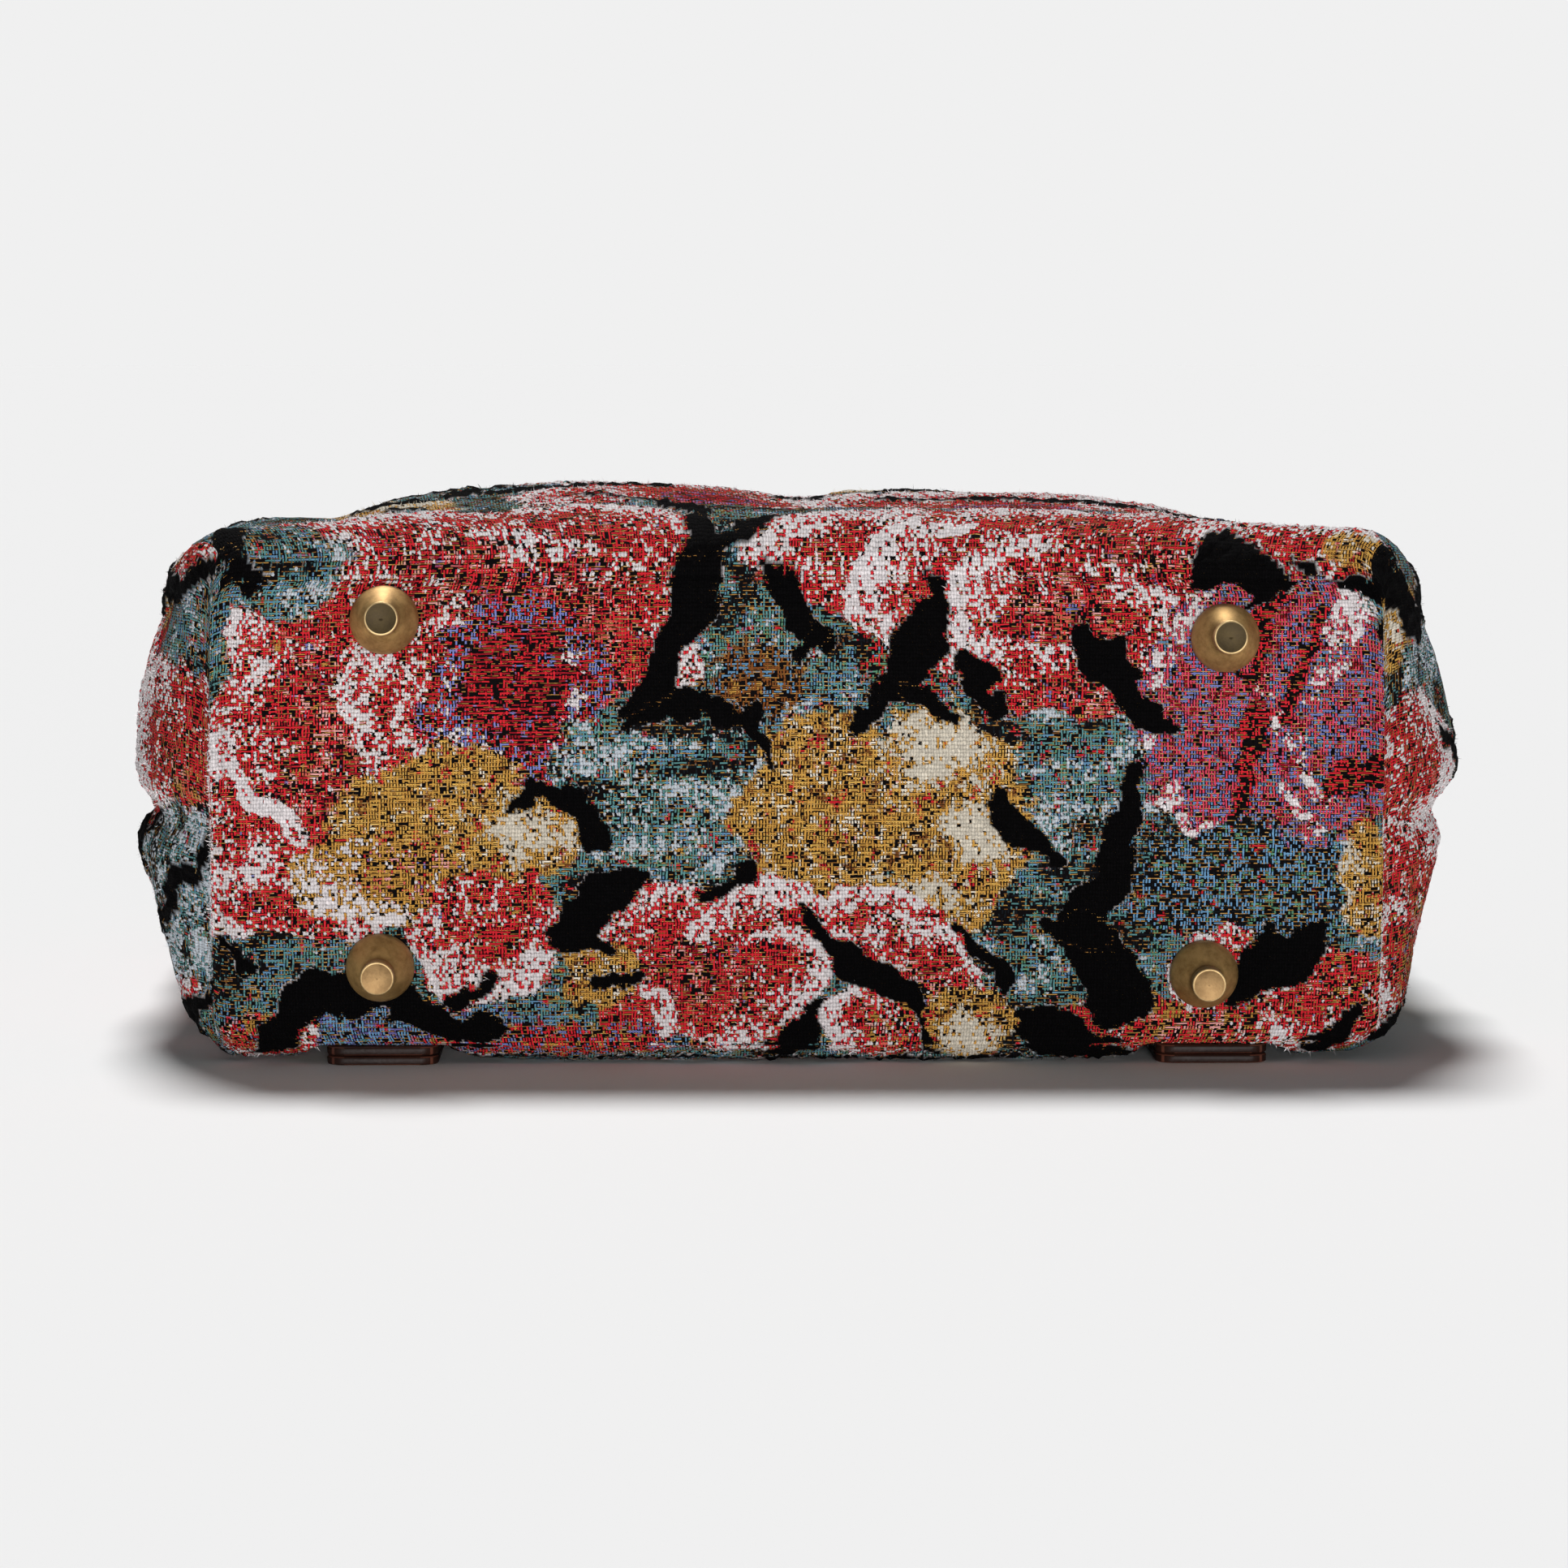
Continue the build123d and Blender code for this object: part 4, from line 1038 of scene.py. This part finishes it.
def quad_object(name, verts, quads, normals=None, uv=None):
    """A smooth mesh object from points in millimetres and faces that all have as many
    corners. uv is one pair for each corner of each face."""
    mesh = bpy.data.meshes.new(name)
    mesh.vertices.add(len(verts))
    mesh.vertices.foreach_set("co", (np.asarray(verts) * MM).astype(np.float32).ravel())
    mesh.loops.add(quads.size)
    mesh.loops.foreach_set("vertex_index", quads.ravel().astype(np.int32))
    mesh.polygons.add(len(quads))
    mesh.polygons.foreach_set("loop_start", np.arange(0, quads.size, quads.shape[1], dtype=np.int32))
    mesh.polygons.foreach_set("use_smooth", np.ones(len(quads), dtype=bool))
    mesh.update(calc_edges=True)
    if uv is not None:
        mesh.uv_layers.new(name="cloth").data.foreach_set("uv", uv.astype(np.float32).ravel())
    if normals is not None:
        mesh.normals_split_custom_set_from_vertices(normals.tolist())
    obj = bpy.data.objects.new(name, mesh)
    bpy.context.scene.collection.objects.link(obj)
    return obj


def hold(obj, key, where, values):
    """Keeps a colour, or a single value, for each point or face of a mesh."""
    kind, field = ("FLOAT_COLOR", "color") if values.ndim == 2 else ("FLOAT", "value")
    attribute = obj.data.attributes.new(key, kind, where)
    attribute.data.foreach_set(field, values.astype(np.float32).ravel())


def finished(obj, material, slot, *replaced):
    """Rides a piece on the bag, with its material if one is given, in the place of CAD nodes. The slot is
    not used.
    """
    if material:
        obj.data.materials.append(material)
    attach(obj, "bag")
    if replaced:
        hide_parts(*replaced)
    return obj


def shell_piece(name, verts, quads, piece_normals, uv, paint):
    """One piece of the bag's cloth, with what the material reads at each point."""
    used, local = np.unique(quads.ravel(), return_inverse=True)
    obj = quad_object(name, verts[used], local.reshape(quads.shape), piece_normals[used], uv)
    for key, colour, amount in (
        ("pile_colour", paint.a, paint.pile),
        ("thread_one", paint.b, paint.share),
        ("thread_two", paint.c, paint.dark),
    ):
        hold(obj, key, "POINT", np.column_stack([as_light(colour), amount])[used])
    hold(obj, "weft", "POINT", paint.weft[used])
    return finished(obj, CLOTH, "tapestry")


def signed(column):
    """Columns of the ring counted both ways from the front middle."""
    return np.where(column < RING // 2, column, column - RING)


column_of = np.tile(np.arange(RING), len(rises) - 1)
row_of = np.repeat(np.arange(len(rises) - 1), RING)
near = np.minimum(column_of + 0.5, RING - column_of - 0.5)
# Weave cells are counted from far off, so that no count is below 0.
CELL_START = 1000
tube_cells = np.stack([signed(column_of), row_of + SIDE_COLS], -1) + CELL_START
tube_uv = tube_cells[:, None, :] + np.array([[0, 0], [1, 0], [1, 1], [0, 1]])

# Where each point of the tube lies on the flat cloth
ring_column = np.tile(np.arange(RING), len(rises))
ring_row = np.repeat(np.arange(len(rises)), RING)
ring_signed = np.where(ring_column <= RING // 2, ring_column, ring_column - RING)
ring_near = np.minimum(ring_column, RING - ring_column)
round_length = EDGE_ROUND * math.pi / 2
arc = np.where(
    ring_row <= ROUND_ROWS,
    ring_row * round_length / ROUND_ROWS,
    round_length + (ring_row - ROUND_ROWS) * WEAVE,
)
tube_points, tube_normals = points[: ids_tube.size], normals[: ids_tube.size]
tube_x, tube_z = tube_points[:, 0], tube_points[:, 2]


def tube_zone(*zones):
    """The threads of the tube's points, painted where each mask says."""
    threads = Threads(ids_tube.size)
    for mask, painter, u, v in zones:
        threads.take(mask, painter(u[mask], v[mask]))
    return threads


front_mask = ring_near <= CORNER
back_mask = ring_near >= LOW_CORNER
side_mask = (ring_near >= CORNER) & (ring_near <= LOW_CORNER)
front_paint = tube_zone((front_mask, paint_front, ring_signed * WEAVE, BOTTOM_FRONT - EDGE_ROUND + arc))
back_paint = tube_zone((back_mask, paint_back, tube_x, BOTTOM_BACK + BACK_ROUND - arc))
side_paint = tube_zone(
    (side_mask & (ring_signed > 0), paint_right, tube_z, arc),
    (side_mask & (ring_signed < 0), paint_left, tube_z, arc),
)
tube_paint = Threads(ids_tube.size)
for mask, paint in ((side_mask, side_paint), (back_mask, back_paint), (front_mask, front_paint)):
    tube_paint.take(mask, paint, mask)


def refine(grid):
    """Halves the cells of a grid of points."""
    rows, cols = grid.shape[:2]
    out = np.zeros((2 * rows - 1, 2 * cols - 1, grid.shape[2]))
    out[::2, ::2] = grid
    out[1::2, ::2] = (grid[:-1] + grid[1:]) / 2
    out[:, 1::2] = (out[:, :-2:2] + out[:, 2::2]) / 2
    return out


def spare_feet(x, z, amount):
    """Keeps the cloth flat where a foot's base presses on it."""
    for fx, fz in foot_centres:
        amount = amount * (0.25 + 0.75 * ease(np.hypot(x - fx, z - fz), 7.0, 9.5))
    return amount


def flat_edges(grid, value):
    """Gives the rim of a grid a value, or that of another grid's rim."""
    for rim in (np.s_[[0, -1], :], np.s_[:, [0, -1]]):
        grid[rim] = value[rim] if np.ndim(value) else value


# The bottom panel is built twice as fine, so that each tuft has a top of its own.
fine = refine(points[ids_panel])
fine_normals = refine(normals[ids_panel])
fine_rows, fine_cols = fine.shape[:2]
panel_paint = paint_panel(fine[..., 0].ravel(), fine[..., 2].ravel())
fi, fj = np.indices(fine.shape[:2])
fine_jitter = hashed(fi, fj, 78)
fine_pile = panel_paint.pile.reshape(fine.shape[:2])
tuft_top = ((fi % 2) * 0.5 + (fj % 2) * 0.5) * 0.6 + 0.4
fine_lift = fine_pile * tuft_top * (0.25 + 0.9 * fine_jitter) + 0.14 * fine_jitter
fine_lift = spare_feet(fine[..., 0], fine[..., 2], fine_lift)
flat_edges(fine_lift, 0)
fine_points = (fine + fine_normals * fine_lift[..., None]).reshape(-1, 3)
fine_ids = np.arange(fine_rows * fine_cols).reshape(fine_rows, fine_cols)
fine_quads = cells(fine_ids)[:, [0, 3, 2, 1]]
fine_shading = vertex_normals(fine_points, fine_quads).reshape(fine.shape)
flat_edges(fine_shading, fine_normals)
half_row, half_col = np.indices((fine_rows - 1, fine_cols - 1)).reshape(2, -1)
cell_u = half_col * 0.5 - FRONT_COLS / 2 + CELL_START
cell_v = SIDE_COLS + 1 - half_row * 0.5 + CELL_START
fine_uv = np.stack([cell_u, cell_v], -1)[:, None, :] + np.array([[0, 0], [0, -0.5], [0.5, -0.5], [0.5, 0]])

# The tufts of the other panels stand proud too.
jitter = hashed(ring_column, ring_row, 77)
lift = tube_paint.pile * (0.15 + 0.85 * jitter) + 0.14 * jitter
lift[(ring_row == 0) | (ring_row > len(rises) - 3)] = 0
tube_shown = tube_points + tube_normals * lift[:, None]
tube_shading = vertex_normals(tube_shown, tube_faces)
tube_shading[ring_row == 0] = tube_normals[ring_row == 0]

shell_bottom = shell_piece(
    "shell_bottom", fine_points, fine_quads, fine_shading.reshape(-1, 3), fine_uv.reshape(-1, 2), panel_paint
)
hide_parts("outer_shell")
for name, mask, paint in (
    ("shell_front", near < CORNER, front_paint),
    ("shell_sides", (near > CORNER) & (near < LOW_CORNER), side_paint),
    ("shell_back", near > LOW_CORNER, back_paint),
):
    shell_piece(name, tube_shown, tube_faces[mask], tube_shading, tube_uv[mask].reshape(-1, 2), paint)

# Facing: the cloth folds over the rim of the mouth and frames the zip.
ZIP_Z = (9.5 + 40.0) / 2
ZIP_CLEAR = 8.6
ZIP_END = 137.6
rim = points[ids_tube[-1]]
inner_x = np.clip(rim[:, 0], -ZIP_END, ZIP_END)
inner_z = ZIP_Z + np.clip(rim[:, 2] - ZIP_Z, -ZIP_CLEAR, ZIP_CLEAR)
inner_rim = np.column_stack([inner_x, rim[:, 1], inner_z])
inward = inner_rim - rim
reach = np.linalg.norm(inward * [1, 0, 1], axis=1, keepdims=True)
inward = inward / np.maximum(reach, 0.01)
# Each row has its distance along the facing, where it lies and its height over the mouth. The
# first rows are set by steps in from the rim, and the others by shares of the way to the zip.
facing_rows = []
for step, height in ((-0.1, -1.2), (-0.35, -0.2), (-0.3, 0.7), (0.2, 1.35), (1.0, 1.62)):
    facing_rows.append((rim + inward * step, height))
for share, height in ((0.35, 1.6), (0.6, 1.7), (0.82, 1.62), (0.96, 1.5), (1.0, 1.2), (1.0, 0.84)):
    facing_rows.append((rim + inward * np.maximum(reach * share, 1.1), height))
for place, height in facing_rows:
    place[:, 1] = BOTTOM_Y + BODY_HEIGHT + height
facing = np.array([place for place, height in facing_rows])
facing[5:9, :, 1] += 0.16 * noise(facing[5:9, :, 0], facing[5:9, :, 2], 5.0, 41)
FACING_STEPS = np.array([0, 1, 1.8, 2.6, 3.4, 5, 6.4, 7.6, 8.6, 9.2, 9.5])
facing_quads = cells(np.arange(len(facing) * RING).reshape(-1, RING), wrap=True)
face_column = signed(facing_quads[:, 0] % RING)
face_u = face_column[:, None] + np.array([[0, 1, 1, 0]])
face_v = FACING_STEPS[facing_quads // RING] + SIDE_COLS + len(rises)
facing_uv = np.stack([face_u, face_v], -1) + CELL_START
facing_paint = Threads(facing.size // 3)
facing_paint.take(slice(None), tube_paint, np.tile(ids_tube[-4], len(facing)))
facing_points = facing.reshape(-1, 3)
facing_normals = vertex_normals(facing_points, facing_quads)
facing_uv = facing_uv.reshape(-1, 2)
shell_piece("mouth_facing", facing_points, facing_quads, facing_normals, facing_uv, facing_paint)

# Lining: a loose bag of cotton a few millimetres inside the cloth.
inset_ids = ids_tube[np.flatnonzero(rises >= 9.5)[::4]][:, ::4]
inside = points[inset_ids] - normals[inset_ids] * [3.6, 0, 3.6]
inside[..., 1] = np.minimum(inside[..., 1], BOTTOM_Y + BODY_HEIGHT - 5.0)
LINING_FLOOR = BOTTOM_Y + 8.6
floor_centre = np.array([[0, LINING_FLOOR, middle_z]])
shrink = np.linspace(0.05, 1.0, 12)[:, None, None]
lining_floor = floor_centre + (inside[0] - floor_centre)[None] * shrink
lining_floor[..., 1] = LINING_FLOOR + (inside[0, :, 1] - LINING_FLOOR)[None] * shrink[..., 0] ** 6
lining_points = np.concatenate([lining_floor[:-1], inside])
lining_ids = np.arange(lining_points.size // 3).reshape(lining_points.shape[:2])
lining_quads = cells(lining_ids, wrap=True)[:, ::-1]
lining_piece = quad_object("lining_bag", lining_points.reshape(-1, 3), lining_quads)
finished(lining_piece, COTTON, "lining", "lining")


def soft_copy(name, node, edge, slot, materials, is_edge=None):
    """A copy of a CAD piece with rounded edges, which takes the piece's place. Faces that
    is_edge picks by their normal and centre take the second material."""
    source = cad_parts[node]
    build = bmesh.new()
    build.from_mesh(source.data)
    bmesh.ops.remove_doubles(build, verts=build.verts, dist=1e-6)
    bmesh.ops.dissolve_limit(build, angle_limit=math.radians(1.5), verts=build.verts, edges=build.edges)
    mesh = bpy.data.meshes.new(name)
    build.to_mesh(mesh)
    build.free()
    mesh.materials.clear()
    for material in materials:
        mesh.materials.append(material)
    for face in mesh.polygons:
        face.use_smooth = True
        face.material_index = 1 if is_edge and is_edge(face.normal, face.center / MM) else 0
    obj = bpy.data.objects.new(name, mesh)
    obj.matrix_world = source.matrix_world.copy()
    bpy.context.scene.collection.objects.link(obj)
    bevel = obj.modifiers.new("edge", "BEVEL")
    bevel.width = edge * MM
    bevel.segments = 3
    bevel.limit_method = "ANGLE"
    bevel.angle_limit = math.radians(40)
    bevel.harden_normals = True
    shown = bpy.data.meshes.new_from_object(obj.evaluated_get(bpy.context.evaluated_depsgraph_get()))
    obj.modifiers.clear()
    obj.data = shown
    shown.name = name
    return finished(obj, None, slot, node)


STITCH_SIDES = 6
# Along a stitch: the place from end to end, and the share of its full width there
STITCH_RINGS = ((-0.5, 0.35), (-0.36, 0.85), (-0.12, 1.0), (0.12, 1.0), (0.36, 0.85), (0.5, 0.35))


def stitches(name, lines, pitch, length, radius, material, slot="leather"):
    """Raised stitches along lines of (points, outward normals) in millimetres."""
    verts, quads = [], []
    for places, outward in lines:
        places = np.asarray(places, float)
        outward = np.broadcast_to(np.asarray(outward, float), places.shape)
        seg = np.sqrt((np.diff(places, axis=0) ** 2).sum(1))
        along = np.concatenate([[0], np.cumsum(seg)])

        def point_at(where, of=places):
            return np.array([np.interp(where, along, of[:, i]) for i in range(3)])

        count = int(along[-1] // pitch)
        for k in range(count):
            at = (k + 0.5) * along[-1] / count
            centre = point_at(at)
            out = point_at(at, outward)
            run = point_at(min(at + 0.5, along[-1])) - point_at(max(at - 0.5, 0))
            run = run / np.linalg.norm(run)
            out = out / np.linalg.norm(out)
            across = np.cross(out, run)
            first = len(verts)
            for t, size in STITCH_RINGS:
                sink = 0.55 * (2 * t) ** 4 * radius
                for turn in range(STITCH_SIDES):
                    a = 2 * math.pi * turn / STITCH_SIDES
                    ring = (across * math.cos(a) + out * math.sin(a)) * radius * size
                    verts.append(centre + run * length * t + ring + out * (radius * 0.2 - sink))
            rings = first + np.arange(len(STITCH_RINGS) * STITCH_SIDES).reshape(-1, STITCH_SIDES)
            quads.extend(cells(rings, wrap=True))
    obj = quad_object(name, np.array(verts), np.array(quads))
    return finished(obj, material, slot)


def side_edge(normal, centre):
    """Cut edges that face sideways."""
    return abs(normal.x) > 0.7


def tab_edge(normal, centre):
    """The sides of a tab, and its end under the bag's bottom."""
    return side_edge(normal, centre) or centre.y < BOTTOM_Y + 1.6


def yoke_edge(normal, centre):
    """The rim of the yoke, all round."""
    return abs(normal.z) < 0.5


HIDE = (LEATHER, EDGE_PAINT)
TAB_TOP_Z = 4.1
leather_lines = []
for side in ("left", "right"):
    tab = f"lower_tab_{side}"
    soft_copy(f"tab_{side}", tab, 0.45, "leather", HIDE, tab_edge)
    low, high = (np.array(end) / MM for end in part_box(tab))
    middle_x = (low[0] + high[0]) / 2
    for x in (middle_x - 10.0, middle_x + 10.0):
        for z, out in ((TAB_TOP_Z, 1), (0.0, -1)):
            leather_lines.append(([(x, BOTTOM_Y + 4.5, z), (x, BOTTOM_Y + 34, z)], (0, 0, out)))
    soft_copy(f"strap_{side}", f"shoulder_strap_{side}", 0.4, "leather", HIDE, side_edge)

soft_copy("yoke", "back_yoke", 0.45, "leather", HIDE, yoke_edge)
soft_copy("handle", "grab_handle", 0.5, "leather", HIDE)
for tape in ("front", "back"):
    soft_copy(f"tape_{tape}", f"zip_tape_{tape}", 0.12, "zip_tape", (TAPE,))

# Yoke stitches run 3 mm inside its edge, on the face away from the cloth.
YOKE_CORNER = 9.0
STITCH_CORNER = YOKE_CORNER - 3.0
yoke_low, yoke_high = (np.array(end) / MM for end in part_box("back_yoke"))
left, right = yoke_low[0] + YOKE_CORNER, yoke_high[0] - YOKE_CORNER
low, high = yoke_low[1] + YOKE_CORNER, yoke_high[1] - YOKE_CORNER
loop = []
for cx, cy, start in ((right, high, 0), (left, high, 90), (left, low, 180), (right, low, 270)):
    for a in np.radians(np.linspace(start, start + 90, 7)):
        loop.append((cx + STITCH_CORNER * math.cos(a), cy + STITCH_CORNER * math.sin(a), yoke_low[2]))
loop.append(loop[0])
leather_lines.append((loop, (0, 0, -1)))


def on_top(name, x, rise0, rise1):
    """Points on the upper face of a piece, along the bag."""
    tree = BVHTree.FromObject(bpy.data.objects[name], bpy.context.evaluated_depsgraph_get())
    line = []
    for rise in np.linspace(rise0, rise1, 30):
        hit = tree.ray_cast(Vector((x * MM, (BOTTOM_Y + rise) * MM, 0.1)), Vector((0, 0, -1)))[0]
        if hit is not None:
            line.append(np.array(hit) / MM)
    return line


# The straps' loose loops show their outer faces above the bag.
STRAP_TOP_X = 62.0
LOOP_RISE = 415.0
LOOP_REACH = 11.95
turn = np.linspace(-math.pi / 2, math.pi / 2, 13)
arc_out = [(0, math.cos(a), math.sin(a)) for a in turn]
for name, top_x in (("strap_left", -STRAP_TOP_X), ("strap_right", STRAP_TOP_X)):
    for x in (top_x - 8.0, top_x + 8.0):
        arc_line = [(x, BOTTOM_Y + LOOP_RISE + LOOP_REACH * c, LOOP_REACH * (1 + s)) for _, c, s in arc_out]
        leather_lines.append((arc_line, arc_out))
        leather_lines.append((on_top(name, x, LOOP_RISE - 2, 306), (0, 0.3, 1)))
# Handle ends are sewn down along their sides and across.
HANDLE_X = 31.0
SEWN_FROM, SEWN_TO = BOTTOM_Y + 269, BOTTOM_Y + 296
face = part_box("grab_handle")[0][2] / MM + 4.9
for middle in (-HANDLE_X, HANDLE_X):
    for x in (middle - 7.0, middle + 7.0):
        leather_lines.append(([(x, SEWN_FROM, face), (x, SEWN_TO, face)], (0, 0, -1)))
    leather_lines.append(([(middle - 6, SEWN_FROM, face), (middle + 6, SEWN_FROM, face)], (0, 0, -1)))
stitches("leather_stitches", leather_lines, 3.4, 2.5, 0.28, THREAD)

# A line of stitches holds the facing to the zip tapes.
seam_x, seam_z = ZIP_END + 2, ZIP_CLEAR + 2
corners = ((-seam_x, -seam_z), (seam_x, -seam_z), (seam_x, seam_z), (-seam_x, seam_z), (-seam_x, -seam_z))
seam = [(x, BOTTOM_Y + BODY_HEIGHT + 1.66, ZIP_Z + z) for x, z in corners]
stitches("facing_stitches", [(seam, (0, 1, 0))], 3.0, 2.2, 0.22, DARK_THREAD, "zip_tape")


FIBRE_LENGTH = 1.5


def pile_hair(name, count, seed, places, place_normals, place_colour):
    """Fine loose fibres that stand out of the pile, one thin blade each."""
    rng = np.random.default_rng(seed)
    pick = rng.integers(0, len(places), count)
    base = places[pick] + rng.uniform(-0.6, 0.6, (count, 3)) * (1 - np.abs(place_normals[pick]))
    lean = rng.normal(0, 0.75, (count, 3))
    way = place_normals[pick] + lean
    way /= np.linalg.norm(way, axis=1, keepdims=True)
    length = rng.uniform(0.45, 1.0, (count, 1)) * FIBRE_LENGTH
    side = np.cross(way, rng.normal(0, 1, (count, 3)))
    side /= np.linalg.norm(side, axis=1, keepdims=True)
    bend = rng.normal(0, 0.22, (count, 3)) * length
    mid = base + way * length * 0.55 + bend * 0.3
    tip = base + way * length + bend
    width = rng.uniform(0.05, 0.1, (count, 1))
    verts = np.stack([base - side * width, base + side * width, mid, tip], 1).reshape(-1, 3)
    k = 4 * np.arange(count)[:, None]
    blades = np.concatenate([k + [0, 1, 2], k + [2, 1, 3]])
    colour = np.concatenate([place_colour[pick], place_colour[pick]])
    obj = quad_object(name, verts, blades)
    hold(obj, "fibre", "FACE", np.column_stack([colour, np.ones(len(colour))]))
    finished(obj, FIBRE, "tapestry")


flat_fine = fine.reshape(-1, 3)
clear = np.ones(len(flat_fine), bool)
for fx, fz in foot_centres:
    clear &= np.hypot(flat_fine[:, 0] - fx, flat_fine[:, 2] - fz) > 7.6
bottom_tufted = (panel_paint.pile > 0.45) & clear
pile_hair(
    "pile_hair_bottom",
    42000,
    5,
    flat_fine[bottom_tufted],
    fine_normals.reshape(-1, 3)[bottom_tufted],
    as_light(panel_paint.a)[bottom_tufted],
)
tufted = (tube_paint.pile > 0.45) & (ring_row < len(rises) - 3)
# The lower part of the bag is seen nearest.
LOWER_ROWS = 130
for name, chosen, seed, count in (
    ("pile_hair_lower", tufted & (ring_row < LOWER_ROWS), 6, 50000),
    ("pile_hair_upper", tufted & (ring_row >= LOWER_ROWS), 7, 36000),
):
    count = count
    pile_hair(name, count, seed, tube_points[chosen], tube_normals[chosen], as_light(tube_paint.a[chosen]))

FINISH = {
    RING_BRASS: ["lower_ring_left", "lower_ring_right"],
    SCREW_BRASS: ["foot_washers", "foot_screws"],
    ZIP_BRASS: [
        "zip_chain_front",
        "zip_chain_back",
        "zip_top_stops",
        "zip_bottom_stop",
        "zip_slider",
        "zip_pull",
    ],
    LEATHER: [
        "lower_tab_left",
        "lower_tab_right",
        "shoulder_strap_left",
        "shoulder_strap_right",
        "back_yoke",
        "grab_handle",
    ],
    TAPE: ["zip_tape_front", "zip_tape_back"],
    COTTON: ["lining"],
    BOARD: ["base_board"],
}
FINISH.update({brass: [foot] for brass, foot in zip(FOOT_BRASS, FEET)})
for material, names in FINISH.items():
    for node in names:
        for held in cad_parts[node].material_slots:
            held.material = material

# Studio: pale floor and backdrop, soft lamps, and the camera
BACKDROP = 0.8714
WORLD_LIGHT = 0.08

world = bpy.data.worlds.new("studio")
bpy.context.scene.world = world
world.use_nodes = True
tree = world.node_tree
tree.nodes.clear()
either = tree.nodes.new("ShaderNodeMixShader")
for socket, level, strength in ((either.inputs[1], 1.0, WORLD_LIGHT), (either.inputs[2], BACKDROP, 1.0)):
    background = tree.nodes.new("ShaderNodeBackground")
    background.inputs[0].default_value = (level, level, level, 1)
    background.inputs[1].default_value = strength
    tree.links.new(background.outputs[0], socket)
tree.links.new(tree.nodes.new("ShaderNodeLightPath").outputs["Is Camera Ray"], either.inputs[0])
tree.links.new(either.outputs[0], tree.nodes.new("ShaderNodeOutputWorld").inputs[0])

PAPER = (0.847, 0.847, 0.847, 1)
FLOOR_HALF = 20000
floor_corners = np.array([(-1, -1, 0), (1, -1, 0), (1, 1, 0), (-1, 1, 0)]) * FLOOR_HALF
floor = quad_object("studio_floor", floor_corners, np.array([[0, 1, 2, 3]]))
paper = Nodes("floor_paper").surface(Base_Color=PAPER, Roughness=1.0, Specular_IOR_Level=0.0)
floor.data.materials.append(paper)
# The floor casts no shadow, so that the low front lamp isn't cut off by it.
floor.visible_shadow = False
floor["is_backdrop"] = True


def sun(name, direction, strength, spread):
    """A lamp that shines one way, softened by a spread in degrees."""
    light = bpy.data.lights.new(name, "SUN")
    light.energy = strength
    light.angle = math.radians(spread)
    obj = bpy.data.objects.new(name, light)
    obj.rotation_euler = Vector(direction).to_track_quat("-Z", "Y").to_euler()
    bpy.context.scene.collection.objects.link(obj)
    obj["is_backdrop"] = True


KEY_STRENGTH = 3.22
FRONT_STRENGTH = 2.5
SOFTNESS = 16
sun("key_light", (0.06, -0.5, -1.0), KEY_STRENGTH, SOFTNESS)
sun("front_light", (-0.06, 1.0, -0.02), FRONT_STRENGTH, SOFTNESS)

# The camera looks at the bottom panel from a little above it and left of its middle.
CAMERA_BACK = 1150.0
CAMERA_UP = 165.0
CAMERA_LEFT = 25.0
CAMERA_DOWN = 5.06
CAMERA_TURN = 1.09
camera_data = bpy.data.cameras.new("camera")
camera_data.lens = 119.0
camera_data.sensor_width = 36.0
camera_data.clip_end = 100.0
camera = bpy.data.objects.new("camera", camera_data)
camera.location = (-CAMERA_LEFT * MM, (BOTTOM_Y - CAMERA_BACK) * MM, CAMERA_UP * MM)
camera.rotation_euler = (math.radians(90.0 - CAMERA_DOWN), 0, math.radians(-CAMERA_TURN))
bpy.context.scene.collection.objects.link(camera)
bpy.context.scene.camera = camera
camera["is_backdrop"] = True

bpy.context.scene.view_settings.view_transform = "Standard"

low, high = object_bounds()
